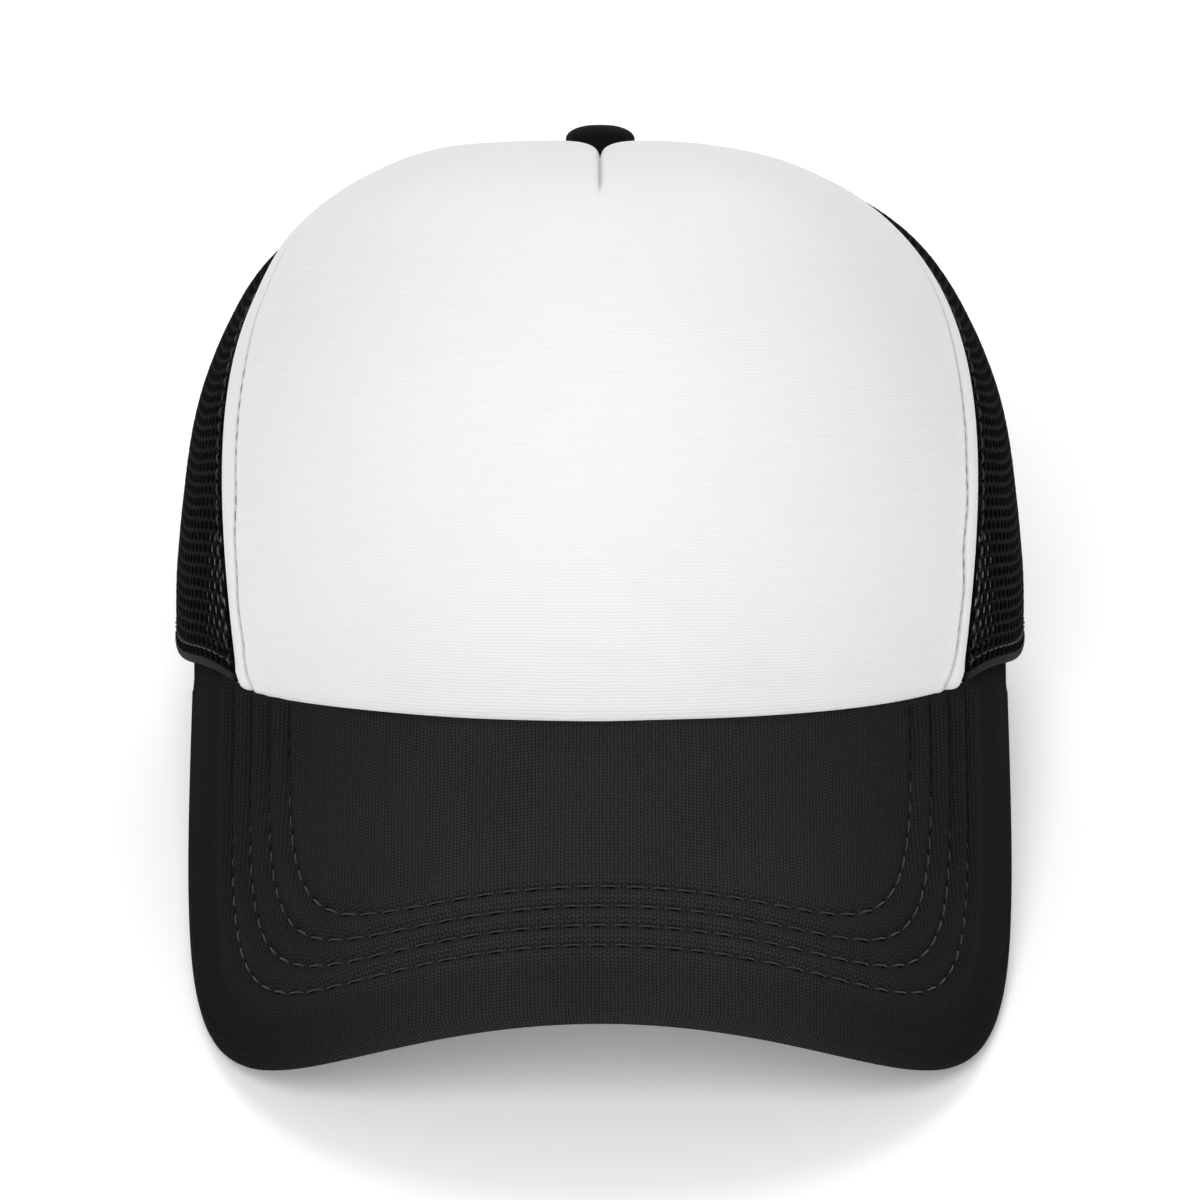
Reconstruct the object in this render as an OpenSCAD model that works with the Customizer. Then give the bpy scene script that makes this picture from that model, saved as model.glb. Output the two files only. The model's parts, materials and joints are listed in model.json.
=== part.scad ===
/* [Crown] */
// Half of the width across the rim, over the ears
half_width = 86.5; // [80:0.5:92]
// From the middle of the head opening to the seam over the forehead
front_depth = 92; // [86:1:98]
// From the middle of the head opening to the rim at the nape
back_depth = 100; // [92:1:106]
// How square the forehead end of the rim is (2 is an ellipse)
front_power = 1.9; // [1.8:0.05:2.2]
// Height of the button's place above the plane of the rim
crown_height = 104; // [98:1:112]
// How far in front of the middle of the opening the button sits
button_forward = 4; // [0:1:8]
// Rise of the crown per millimetre ahead of the button
crest_slope = 0.26; // [0.15:0.01:0.3]
// Fullness of the crown halfway between forehead and side
shoulder_lift = 4; // [0:0.5:5]

/* [Panels] */
// Polyester facing on the front panel
facing_thick = 0.7; // [0.5:0.1:1]
// Foam behind the facing
foam_thick = 2.5; // [2:0.25:4]
// Knitted mesh
mesh_thick = 1.2; // [0.8:0.1:1.4]
// Azimuth of the front seams at the rim, from the middle of the forehead
front_seam_rim = 57; // [54:1:60]
// How far round the front seams move on their way to the button
front_seam_sweep = 42; // [34:1:44]
// Azimuth of the side seams at the rim
side_seam_rim = 120; // [116:1:124]
// How far round the side seams move on their way to the button
side_seam_sweep = 18; // [12:1:20]
// Width of the tape over each seam
tape_width = 8; // [6:1:9]
// Tape and binding thickness
tape_thick = 0.7; // [0.5:0.1:0.8]

/* [Rear opening] */
// Half of the opening, as an azimuth at the rim
arch_half = 29; // [26:1:29]
// Top of the opening, as a share of the way from the rim to the button
arch_top = 0.3; // [0.24:0.01:0.32]

/* [Visor] */
// Reach of the visor ahead of the seam, laid flat
visor_length = 71.5; // [66:0.5:78]
// Half of the visor's width, laid flat
visor_half_width = 102; // [100:0.5:104]
// How far behind the forehead seam the outline's middle lies
visor_centre_back = 58; // [54:1:62]
// How square the outline is (2 is an ellipse)
visor_power = 4.3; // [3.4:0.1:4.6]
// Radius the visor is bent to
visor_bend = 94; // [90:1:104]
// Slope of the visor's spine below the plane of the rim
visor_slope = 35; // [28:1:38]
// Height of the forehead seam above the plane of the rim
seam_lift = 10; // [6:1:14]
// Padded top cover
top_cover_thick = 1.2; // [0.8:0.1:1.6]
// Stiff board in the visor
board_thick = 2; // [1.5:0.1:2.5]
// Cover under the visor
under_cover_thick = 0.8; // [0.6:0.1:1.2]
// Rows of stitching round the visor
stitch_rows = 4; // [1:1:6]
// From the visor's side edge to the first row
first_row = 18; // [14:1:20]
// From one row to the next
row_pitch = 5.5; // [4:0.5:6]
// Insets of the rows at the front, as a share of those at the sides
row_front_share = 0.85; // [0.8:0.05:1]
row_front_extra = 1.8;   // the rows start this much further in at the front
row_power = 6;           // shape of the rows at the visor's corners

/* [Sweatband] */
// Height of the sweatband
band_height = 30; // [24:1:34]
// Fabric of the sweatband
band_thick = 0.8; // [0.6:0.1:1]
// Foam pad behind the sweatband over the forehead
pad_thick = 1.2; // [1:0.1:1.5]
// Azimuth where the sweatband ends, beside the straps
band_end = 140; // [136:1:141]

/* [Snap straps] */
// Height of the straps
strap_height = 18; // [15:1:20]
// Thickness of the straps
strap_thick = 1.2; // [1:0.1:1.4]
// Pegs on one strap, and holes in the other
snap_count = 7; // [5:1:7]
// Spacing of the pegs and holes
snap_pitch = 8; // [7:0.5:8]
// Snaps closed at the size the cap is set to
snaps_closed = 4; // [2:2:4]
// Radius of a peg
peg_radius = 1.7; // [1.5:0.1:1.8]
// Radius of a hole
hole_radius = 2.5; // [2.4:0.1:2.6]

/* [Button] */
// Radius of the covered button
button_radius = 6.9; // [6:0.1:8]
// Height of the covered button
button_rise = 4; // [3.6:0.1:5.5]

/* [Hidden] */

fabric_white = "#f2f2f2";
fabric_black = "#1c1c1e";
mesh_black = "#121213";
strap_black = "#18181a";

gap = 0.1;            // between layers that lie on each other
panel_top = 0.985;    // the panels stop here, round the rivet's hole
panel_rows = 18;      // steps from the rim to the button
front_columns = 24;   // steps across the front panel
side_columns = 14;    // steps across a side panel
visor_columns = 40;   // steps across the visor

// The meridians are cubic curves. Each handle is given for the front, the side and the back.
rim_handle = [98, 80, 62];         // length of the upright handle at the rim
rim_flare = [0, 0.5, 1];            // lean of that handle, out from the head
top_handle = [0.8, 0.66, 0.66];    // share of the radius that the handle at the button spans

// ---- crown surface, in the frame of the worn cap: z = 0 is the plane of the rim ----

function by_azimuth(v, phi) =
    v[1] + (v[cos(phi) > 0 ? 0 : 2] - v[1]) * pow(cos(phi), 2);

function rim_radius(phi) =
    let (depth = cos(phi) > 0 ? front_depth : back_depth, power = cos(phi) > 0 ? front_power : 2)
    pow(pow(abs(sin(phi)) / half_width, power) + pow(abs(cos(phi)) / depth, power), -1 / power);

function bend_drop(x) = visor_bend - sqrt(pow(visor_bend, 2) - x * x);

// The visor's surface where it meets the crown's wall, kept above the plane of the rim
function rim_height(x, y, phi) =
    let (fade = min(1, max(0, (76 - abs(phi)) / 16)),
         h = seam_lift + (front_depth + y) * tan(visor_slope) - bend_drop(x) / cos(visor_slope))
    abs(phi) > 76 ? 0 : (h + sqrt(h * h + 1)) / 2 * fade * fade * (3 - 2 * fade);

function rim(phi) =
    let (r = rim_radius(phi), x = r * sin(phi), y = -r * cos(phi)) [x, y, rim_height(x, y, phi)];

function crown(phi, t) =
    let (a = rim(phi), flare = by_azimuth(rim_flare, phi), span = by_azimuth(top_handle, phi),
         b = a + [flare * sin(phi), -flare * cos(phi), by_azimuth(rim_handle, phi)],
         d = [0, -button_forward, crown_height],
         c = d + span * [a[0], a[1] - d[1], -crest_slope * (a[1] - d[1])],
         s = 1 - t, lift = cos(phi) > 0 ? shoulder_lift * pow(4 * s * t * sin(2 * phi), 2) : 0)
    s * s * s * a + 3 * s * s * t * b + 3 * s * t * t * c + t * t * t * d + [0, 0, lift];

function unit(v) = v / norm(v);

function crown_normal(phi, t) =
    unit(cross(crown(phi + 0.5, t) - crown(phi - 0.5, t), crown(phi, t + 0.004) - crown(phi, t - 0.004)));

// A point of the crown at a depth under its outer face
function shell_point(phi, t, depth) = crown(phi, t) - depth * crown_normal(phi, t);

// How far up a meridian a height above its rim lies
function share_at(phi, height, low = 0, high = 0.5, steps = 12) =
    steps == 0 ? (low + high) / 2 :
    let (mid = (low + high) / 2)
    crown(phi, mid)[2] - crown(phi, 0)[2] < height
        ? share_at(phi, height, mid, high, steps - 1) : share_at(phi, height, low, mid, steps - 1);

// Seams: 1 is the front seam, 2 the side seam and 3 the seam at the nape
function seam(k, t) =
    k == 3 ? 180 :
    k == 2 ? side_seam_rim + side_seam_sweep * t :
    sign(k) * (front_seam_rim + front_seam_sweep * t);

// Rear opening: psi runs from one foot over the top, and size 1 is the edge of the mesh
function arch_azimuth(across, t) = seam(2, t) + (180 - seam(2, t)) * across;
function arch(psi, size, depth) =
    let (t = size * arch_top * sin(psi), out = size * arch_half * abs(cos(psi)),
         phi = arch_azimuth(1 - out / (180 - side_seam_rim), t))
    shell_point(cos(psi) < 0 ? -phi : phi, t, depth);

// ---- visor surface: u across and v forward, laid flat, then bent round a cylinder ----

function visor_point(u, v, depth) =
    let (turn = u / visor_bend * 180 / PI, r = visor_bend - depth, down = visor_bend - r * cos(turn))
    [r * sin(turn), -front_depth - v * cos(visor_slope) + down * sin(visor_slope),
     seam_lift - v * sin(visor_slope) - down * cos(visor_slope)];

// The outline, inset from the visor's edge, at an angle round its middle
function visor_edge(angle, inset, front_share = 1) =
    let (wide = visor_half_width - inset, long = visor_length + visor_centre_back - front_share * inset,
         r = pow(pow(abs(sin(angle)) / wide, visor_power) + pow(abs(cos(angle)) / long, visor_power),
                 -1 / visor_power))
    [r * sin(angle), r * cos(angle) - visor_centre_back];

visor_end = 83;    // the outline's last angle, at the visor's corner
visor_angles = [for (k = [0:visor_columns]) visor_end * (1 - 2 * k / visor_columns)];

// The seam on the crown, laid flat
function visor_seam(angle) =
    let (x = 82 * sin(angle) / sin(visor_end), y = -front_depth
             * pow(1 - pow(abs(x) / half_width, front_power), 1 / front_power))
    [visor_bend * asin(x / visor_bend) * PI / 180,
     (bend_drop(x) * sin(visor_slope) - front_depth - y) / cos(visor_slope)];

cover_depth = top_cover_thick + gap;
board_depth = cover_depth + board_thick;
visor_thick = board_depth + gap + under_cover_thick;
edge_wrap = 2.5;    // width of the cover's turn round the edge of the board
under_inset = 1.2;  // the cover underneath stops this far from the edge

// How far the seam pulls the visor up to the rim over the ears
function seam_pull(p) =
    let (q = visor_point(p[0], p[1], 0)) rim_height(q[0], q[1], atan2(q[0], -q[1])) - q[2];

// A point of a visor layer, at a share of the way from the seam to an inset from the edge
function visor_layer(angle, share, inset, depth) =
    let (a = visor_seam(angle), p = a * (1 - share) + visor_edge(angle, inset) * share)
    visor_point(p[0], p[1], depth) + [0, 0, seam_pull(a) * pow(1 - share, 2)];

function visor_row(share, inset, depth) =
    [for (angle = visor_angles) visor_layer(angle, share, inset, depth)];

// ---- resting on a table: the visor's two lobes and the rim at the nape touch it ----

visor_feet = concat(visor_row(1, under_inset, visor_thick), visor_row(1, 0, board_depth));
tilt = max([for (p = visor_feet) atan2(-p[2], back_depth - p[1])]);
function rested(p) = [p[0], p[1] * cos(tilt) + p[2] * sin(tilt), -p[1] * sin(tilt) + p[2] * cos(tilt)];
table = rested([0, back_depth, 0])[2];
front_end = min([for (p = visor_row(1, 0, 0)) rested(p)[1]]);
back_end = max([for (t = [0:0.05:0.6]) rested(crown(180, t))[1]]);

module rest() {
    translate([0, -(front_end + back_end) / 2, -table]) rotate([-tilt, 0, 0]) children();
}

module right_side() {
    rest() mirror([1, 0, 0]) children();
}

// A closed solid between two grids of points, the outer one first
module slab(outer, inner) {
    rows = len(outer);
    cols = len(outer[0]);
    other = rows * cols;
    function at(i, j) = i * cols + j;
    polyhedron(
        points = concat([for (row = outer) each row], [for (row = inner) each row]),
        faces = concat(
            [for (i = [0:rows - 2], j = [0:cols - 2]) each [
                [at(i, j), at(i + 1, j), at(i + 1, j + 1)], [at(i, j), at(i + 1, j + 1), at(i, j + 1)],
                [other + at(i, j), other + at(i + 1, j + 1), other + at(i + 1, j)],
                [other + at(i, j), other + at(i, j + 1), other + at(i + 1, j + 1)]]],
            [for (j = [0:cols - 2]) each [
                [at(0, j), at(0, j + 1), other + at(0, j + 1)], [at(0, j), other + at(0, j + 1), other + at(0, j)],
                [at(rows - 1, j), other + at(rows - 1, j + 1), at(rows - 1, j + 1)],
                [at(rows - 1, j), other + at(rows - 1, j), other + at(rows - 1, j + 1)]]],
            [for (i = [0:rows - 2]) each [
                [at(i, 0), other + at(i + 1, 0), at(i + 1, 0)], [at(i, 0), other + at(i, 0), other + at(i + 1, 0)],
                [at(i, cols - 1), at(i + 1, cols - 1), other + at(i + 1, cols - 1)],
                [at(i, cols - 1), other + at(i + 1, cols - 1), other + at(i, cols - 1)]]]),
        convexity = 12);
}

// ---- crown ----

// One layer of a panel between two seams
function panel_grid(from, to, columns, depth) =
    [for (i = [0:panel_rows]) let (t = panel_top * i / panel_rows)
        [for (j = [0:columns]) shell_point(seam(from, t) + (seam(to, t) - seam(from, t)) * j / columns, t, depth)]];

module front_panel_face() {
    color(fabric_white) rest()
        slab(panel_grid(-1, 1, front_columns, 0), panel_grid(-1, 1, front_columns, facing_thick));
}

module front_panel_foam() {
    near = facing_thick + gap;
    color("#dcdcd8") rest()
        slab(panel_grid(-1, 1, front_columns, near), panel_grid(-1, 1, front_columns, near + foam_thick));
}

module mesh_side() {
    slab(panel_grid(1, 2, side_columns, 0), panel_grid(1, 2, side_columns, mesh_thick));
}

module mesh_panel_side_left() {
    color(mesh_black) rest() mesh_side();
}

module mesh_panel_side_right() {
    color(mesh_black) right_side() mesh_side();
}

// The back panel's lower edge follows the rim, then climbs over the rear opening
arch_share = arch_half / (180 - side_seam_rim);
back_across = concat([for (k = [0:6]) 0.15 * k * (1 - arch_share)],
                     [for (psi = [0:10:90]) 1 - arch_share * cos(psi)]);

function arch_foot(across) =
    across <= 1 - arch_share ? 0 : arch_top * sqrt(1 - pow((1 - across) / arch_share, 2));

function back_grid(depth) =
    [for (i = [0:panel_rows])
        [for (across = back_across)
            let (foot = arch_foot(across), t = foot + (panel_top - foot) * i / panel_rows)
            shell_point(arch_azimuth(across, t), t, depth)]];

module mesh_back() {
    slab(back_grid(0), back_grid(mesh_thick));
}

module mesh_panel_back_left() {
    color(mesh_black) rest() mesh_back();
}

module mesh_panel_back_right() {
    color(mesh_black) right_side() mesh_back();
}

front_depth_in = facing_thick + foam_thick + 2 * gap;
mesh_depth_in = mesh_thick + gap;

// Tape over a seam, a row short of the panels at the top, where the rivet's washer lies.
// The depth changes from one side of the seam to the other.
function tape_grid(k, low, depths) =
    [for (i = [low > 0 ? 1 : 0 : panel_rows - 1])
        let (t = low + (panel_top - low) * i / panel_rows, phi = seam(k, t))
        [for (j = [0:3])
            let (p = crown(phi, t), r = norm([p[0], p[1] + button_forward]),
                 half = tape_width / 2 / r * 180 / PI)
            shell_point(phi + half * [-1, 0, 0.25, 1][j], t, depths[j])]];

function deeper(depths) = [for (d = depths) d + tape_thick];

module seam_tape(k, low, depths) {
    slab(tape_grid(k, low, depths), tape_grid(k, low, deeper(depths)));
}

front_tape_depths = [front_depth_in, front_depth_in, front_depth_in - 0.6, mesh_depth_in];
mesh_tape_depths = [mesh_depth_in, mesh_depth_in, mesh_depth_in, mesh_depth_in];

module seam_tape_front_left() {
    color(fabric_black) rest() seam_tape(1, 0, front_tape_depths);
}

module seam_tape_front_right() {
    color(fabric_black) right_side() seam_tape(1, 0, front_tape_depths);
}

module seam_tape_side_left() {
    color(fabric_black) rest() seam_tape(2, 0, mesh_tape_depths);
}

module seam_tape_side_right() {
    color(fabric_black) right_side() seam_tape(2, 0, mesh_tape_depths);
}

module seam_tape_back() {
    color(fabric_black) rest() seam_tape(3, arch_top, mesh_tape_depths);
}

// Tape folded over the edge of the rear opening
module opening_binding() {
    steps = 24;
    function edge(size, depth) = [for (k = [0:steps]) arch(180 * k / steps, size, depth)];
    color(fabric_black) rest()
        slab([edge(0.93, -tape_thick), edge(0.995, -tape_thick)],
             [edge(0.93, mesh_thick + tape_thick), edge(0.995, mesh_thick + tape_thick)]);
}

// ---- sweatband ----

// The band lies on the foam over the forehead and on the mesh behind it
function band_depth(phi) =
    let (near = front_depth_in + tape_thick + gap, far = mesh_depth_in + tape_thick + gap,
         s = min(1, max(0, (abs(phi) - 62) / 14)))
    near + (far - near) * s * s * (3 - 2 * s);

function band_grid(limit, low, high, columns, extra) =
    [for (height = [low, (low + high) / 2, high])
        [for (j = [0:columns]) let (phi = limit * (2 * j / columns - 1))
            shell_point(phi, share_at(phi, height), band_depth(phi) + extra)]];

band_clear = 0.5;    // the band's lower edge stays this far above the rim

module sweatband() {
    inner = pad_thick + gap;
    color(fabric_black) rest()
        slab(band_grid(band_end, band_clear, band_height, 56, inner),
             band_grid(band_end, band_clear, band_height, 56, inner + band_thick));
}

module sweatband_foam() {
    color("#3a3a3c") rest()
        slab(band_grid(72, 3, band_height - 3, 28, 0), band_grid(72, 3, band_height - 3, 28, pad_thick));
}

// A stitch is a short bar from one point to another on a surface
module stitch(from, to, width) {
    v = to - from;
    translate((from + to) / 2)
        rotate([0, acos(v[2] / norm(v)), atan2(v[1], v[0])])
            cube([width, width, norm(v)], center = true);
}

module sweatband_stitching() {
    stitches = 64;
    step = 2 * (band_end - 3) / stitches;
    depth = pad_thick + 2 * gap + band_thick + 0.3;
    function place(phi) = shell_point(phi, share_at(phi, 5), band_depth(phi) + depth);
    color("#3c3c3e") rest()
        for (k = [0:stitches - 1]) let (phi = -band_end + 3 + step * (k + 0.2))
            stitch(place(phi), place(phi + step * 0.6), 0.4);
}

// One row of thread along each side of the front panel, this far inside the seam
topstitch_inset = 3.8;

module front_panel_topstitching() {
    stitches = 36;
    function place(side, t) =
        let (phi = seam(1, t), r = norm([crown(phi, t)[0], crown(phi, t)[1]]))
        shell_point(side * (phi - topstitch_inset / r * 180 / PI), t, -0.3);
    color("#c9c9cc") rest()
        for (side = [-1, 1], k = [0:stitches - 1]) let (t = 0.02 + 0.86 * k / stitches)
            stitch(place(side, t), place(side, t + 0.55 * 0.86 / stitches), 0.4);
}

// ---- visor ----

module visor_top_cover() {
    shares = [0, 0.25, 0.5, 0.75];
    rows = len(shares);
    color(fabric_black) rest()
        slab(concat([for (s = shares) visor_row(s, edge_wrap, 0)],
                    [visor_row(1, edge_wrap, 0), visor_row(1, edge_wrap - 0.2, 0), visor_row(1, 0, 0.4)]),
             concat([for (s = shares) visor_row(s, edge_wrap, top_cover_thick)],
                    [visor_row(1, edge_wrap, top_cover_thick), visor_row(1, edge_wrap - 0.2, board_depth),
                     visor_row(1, 0, board_depth)]));
}

module visor_board() {
    inset = edge_wrap + gap;
    color("#e8e8e4") rest()
        slab([for (s = [0:0.25:1]) visor_row(0.01 + 0.99 * s, inset, cover_depth)],
             [for (s = [0:0.25:1]) visor_row(0.01 + 0.99 * s, inset, board_depth)]);
}

module visor_under_cover() {
    near = board_depth + gap;
    color(fabric_black) rest()
        slab([for (s = [0:0.25:1]) visor_row(s, under_inset, near)],
             [for (s = [0:0.25:1]) visor_row(s, under_inset, visor_thick)]);
}

// Share of the way from the seam to the edge at which the cover reaches a row of thread
function row_share(angle, inset, low = 0, high = 1, steps = 12) =
    steps == 0 ? (low + high) / 2 :
    let (mid = (low + high) / 2,
         p = visor_seam(angle) * (1 - mid) + visor_edge(angle, edge_wrap) * mid,
         wide = visor_half_width - inset,
         long = visor_length + visor_centre_back - row_front_extra - row_front_share * inset)
    pow(abs(p[0]) / wide, row_power) + pow((p[1] + visor_centre_back) / long, row_power) < 1
        ? row_share(angle, inset, mid, high, steps - 1) : row_share(angle, inset, low, mid, steps - 1);

// Rows of thread round the visor, each one lying on the cover and ending near the seam
module visor_topstitching() {
    thread = 0.5;
    above = 0.06;
    function ends_clear(inset) = [for (angle = visor_angles) if (row_share(angle, inset) > 0.06) angle];
    function line(angles, inset, height) =
        [for (angle = angles) visor_layer(angle, row_share(angle, inset), edge_wrap, -height)];
    color("#4a4a4c") rest()
        for (row = [0:stitch_rows - 1])
            let (outer = first_row + row * row_pitch, inner = outer + thread, angles = ends_clear(inner))
            slab([line(angles, inner, above + thread), line(angles, outer, above + thread)],
                 [line(angles, inner, above), line(angles, outer, above)]);
}

// ---- button ----

// Puts a piece upright on the crown where the seams meet
module at_button() {
    rest() translate([0, -button_forward, crown_height]) rotate([-atan(crest_slope), 0, 0]) children();
}

seat = 0.15;   // height of the button's underside over the point where the seams meet

module button_cover() {
    wall = 0.6;
    color(fabric_black) at_button() rotate_extrude($fn = 64)
        polygon(concat(
            [for (a = [0:10:90]) [button_radius * cos(a), seat + 1 + (button_rise - 1) * sin(a)]],
            [for (a = [90:-10:0]) [(button_radius - wall) * cos(a), seat + 1 + (button_rise - 1 - wall) * sin(a)]],
            [[button_radius - wall, seat], [button_radius, seat]]));
}

module button_shell() {
    outer = button_radius - 0.7;
    top = button_rise - 1.8;
    color("silver") at_button() rotate_extrude($fn = 64)
        polygon(concat(
            [for (a = [0:15:90]) [outer * cos(a), seat + 1 + top * sin(a)]],
            [for (a = [90:-15:0]) [(outer - 0.6) * cos(a), seat + 1 + (top - 0.6) * sin(a)]],
            [[outer - 0.6, seat + 0.2], [outer, seat + 0.2]]));
}

module button_rivet() {
    washer_radius = 6.5;
    inside = front_depth_in + 1.2;
    color("silver") at_button() {
        translate([0, 0, -inside]) cylinder(r = 1.4, h = inside + seat + 2, $fn = 32);
        translate([0, 0, -inside - 0.8]) cylinder(r = washer_radius, h = 0.8, $fn = 48);
    }
}

// ---- snap straps: two bands round one upright axis, the holes outside the pegs ----

strap_centre = back_depth - pow(half_width, 2) / back_depth;
hole_strap_out = pow(half_width, 2) / back_depth - 3.2;
peg_strap_out = hole_strap_out - strap_thick - 0.15;
strap_low = 1.5;    // the straps stay this far above the rim's plane
hinge_angle = 32;   // where a strap leaves the binding and starts to flex
root_angle = 49;    // end of the part that is sewn in
strap_tip = snap_pitch * (snaps_closed - 1) / 2;    // last snap, past the middle of the nape
tip_reach = 5.6;    // from the last snap to the end of the strap
tip_radius = 12;    // curve of the strap's end

function arc_angle(length) = length / hole_strap_out * 180 / PI;

// Angle 0 is the nape, and angles grow toward the cap's right, which is -X
module on_strap() {
    rest() translate([0, strap_centre, strap_low]) rotate([0, 0, 90]) children();
}

module band(outside, from, to) {
    rotate([0, 0, from]) rotate_extrude(angle = to - from, $fn = 180)
        translate([outside - strap_thick, 0]) square([strap_thick, strap_height]);
}

module radial(angle, height, from, to, radius) {
    rotate([0, 0, angle]) translate([from, 0, height]) rotate([0, 90, 0])
        cylinder(r = radius, h = to - from, $fn = 32);
}

// A strap from its hinge, past the nape, to a curved end
module strap(outside) {
    end = -arc_angle(strap_tip + tip_reach);
    middle = end + arc_angle(tip_radius);
    difference() {
        band(outside, end - 1, hinge_angle);
        difference() {
            rotate([0, 0, middle]) translate([outside - 6, -2 * tip_radius, -1])
                cube([12, 2 * tip_radius, strap_height + 2]);
            radial(middle, strap_height / 2, outside - 7, outside + 7, tip_radius);
        }
    }
}

module snap_strap_holes() {
    color(strap_black) on_strap() mirror([0, 1, 0]) difference() {
        strap(hole_strap_out);
        for (k = [0:snap_count - 1])
            radial(-arc_angle(strap_tip) + arc_angle(snap_pitch * k), strap_height / 2,
                   hole_strap_out - 3, hole_strap_out + 3, hole_radius);
    }
}

module snap_strap_pegs() {
    color(strap_black) on_strap() {
        strap(peg_strap_out);
        for (k = [0:snap_count - 1])
            radial(-arc_angle(strap_tip) + arc_angle(snap_pitch * k), strap_height / 2,
                   peg_strap_out - 0.5, hole_strap_out + 0.3, peg_radius);
    }
}

module strap_root_holes() {
    color(strap_black) on_strap() mirror([0, 1, 0]) band(hole_strap_out, hinge_angle + 0.1, root_angle);
}

module strap_root_pegs() {
    color(strap_black) on_strap() band(peg_strap_out, hinge_angle + 0.1, root_angle);
}

// Two upright rows of stitches through the mesh over a strap's root
module strap_stitches() {
    function place(phi, height) = shell_point(phi, share_at(phi, height), -0.25);
    for (phi = [145, 149], height = [3:3.5:17])
        stitch(place(phi, height), place(phi, height + 2.2), 0.4);
}

module strap_stitching_left() {
    color("#3c3c3e") rest() strap_stitches();
}

module strap_stitching_right() {
    color("#3c3c3e") right_side() strap_stitches();
}

// Blank label sewn to the sweatband's lower edge and lying on the band
module care_label() {
    function grid(extra) =
        [for (height = [4, 24])
            [for (phi = [112:3:130])
                shell_point(phi, share_at(phi, height), band_depth(phi) + pad_thick + gap + band_thick + 0.6 + extra)]];
    color("white") rest() slab(grid(0), grid(0.4));
}

front_panel_face();
front_panel_foam();
mesh_panel_side_left();
mesh_panel_side_right();
mesh_panel_back_left();
mesh_panel_back_right();
seam_tape_front_left();
seam_tape_front_right();
seam_tape_side_left();
seam_tape_side_right();
seam_tape_back();
opening_binding();
sweatband();
sweatband_foam();
sweatband_stitching();
front_panel_topstitching();
visor_top_cover();
visor_board();
visor_under_cover();
visor_topstitching();
button_cover();
button_shell();
button_rivet();
snap_strap_holes();
snap_strap_pegs();
strap_root_holes();
strap_root_pegs();
strap_stitching_left();
strap_stitching_right();
care_label();
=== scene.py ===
"""The looks of a trucker mesh cap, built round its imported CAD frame.

Shapes are worked out in millimetres in the frame of the worn cap, with the rim in the plane
z = 0 and the forehead toward -Y. place() turns them into metres in the row frame. An azimuth
phi runs round the crown in degrees, 0 at the forehead and positive toward +X, and t is a share
of the way up a meridian from the rim to the button.
"""

import json
import math

import bmesh
import bpy
import numpy as np
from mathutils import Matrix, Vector


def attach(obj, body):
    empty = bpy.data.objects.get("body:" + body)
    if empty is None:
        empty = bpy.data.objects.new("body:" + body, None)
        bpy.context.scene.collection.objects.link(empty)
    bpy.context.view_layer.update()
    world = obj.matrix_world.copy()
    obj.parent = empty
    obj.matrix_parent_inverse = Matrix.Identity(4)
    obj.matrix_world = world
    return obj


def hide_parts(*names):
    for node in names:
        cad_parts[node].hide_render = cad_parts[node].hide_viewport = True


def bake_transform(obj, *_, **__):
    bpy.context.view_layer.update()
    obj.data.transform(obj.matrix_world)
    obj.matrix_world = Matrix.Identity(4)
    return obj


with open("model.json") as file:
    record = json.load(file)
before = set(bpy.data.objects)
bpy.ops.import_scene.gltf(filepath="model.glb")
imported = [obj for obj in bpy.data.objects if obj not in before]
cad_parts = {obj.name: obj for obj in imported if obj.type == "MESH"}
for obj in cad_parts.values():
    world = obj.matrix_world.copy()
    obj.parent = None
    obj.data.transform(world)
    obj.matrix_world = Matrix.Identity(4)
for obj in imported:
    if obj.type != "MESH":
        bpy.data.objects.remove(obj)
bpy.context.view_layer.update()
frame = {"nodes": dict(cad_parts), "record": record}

MM = 0.001
CROWN = "crown"
SIDES = ((1, "left"), (-1, "right"))

# ---- sizes that the cap's design sets, in millimetres and degrees ----

HALF_WIDTH = 86.5
FRONT_DEPTH = 92.0
BACK_DEPTH = 100.0
FRONT_POWER = 1.9
CROWN_HEIGHT = 104.0
BUTTON_FORWARD = 4.0
CREST_SLOPE = 0.26
SHOULDER_LIFT = 4.0
RIM_HANDLE = (98.0, 80.0, 62.0)
RIM_FLARE = (0.0, 0.5, 1.0)
TOP_HANDLE = (0.8, 0.66, 0.66)
RIM_DEGREE = 1.55        # length along the rim for one degree of azimuth

FACING = 0.7
FOAM = 2.5
NET = 1.2
TAPE_WIDTH = 8.0
TAPE = 0.7
GAP = 0.1
PANEL_TOP = 0.985
FRONT_SEAM = (57.0, 42.0)
SIDE_SEAM = (120.0, 18.0)
ARCH_HALF = 29.0
ARCH_TOP = 0.3

VISOR_LENGTH = 71.5
VISOR_HALF_WIDTH = 102.0
VISOR_CENTRE_BACK = 58.0
VISOR_POWER = 4.3
VISOR_BEND = 94.0
VISOR_SLOPE = math.radians(35)
VISOR_END = 83.0
SEAM_LIFT = 10.0
BOARD_TOP = 1.3
CORNER_RISE = 4.6        # the drawn lower edge rises this far above the CAD's at the panel's corners
BOARD_UNDER = 3.3
VISOR_THICK = 4.2
STITCH_ROWS = 4
FIRST_ROW = 18.0
ROW_PITCH = 5.5
ROW_FRONT_SHARE = 0.85
ROW_FRONT_EXTRA = 1.8
ROW_POWER = 6.0

BAND_HEIGHT = 30.0
BAND_END = 140.0
PAD = 1.2

BUTTON_RADIUS = 6.9
BUTTON_RISE = 4.0

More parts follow.
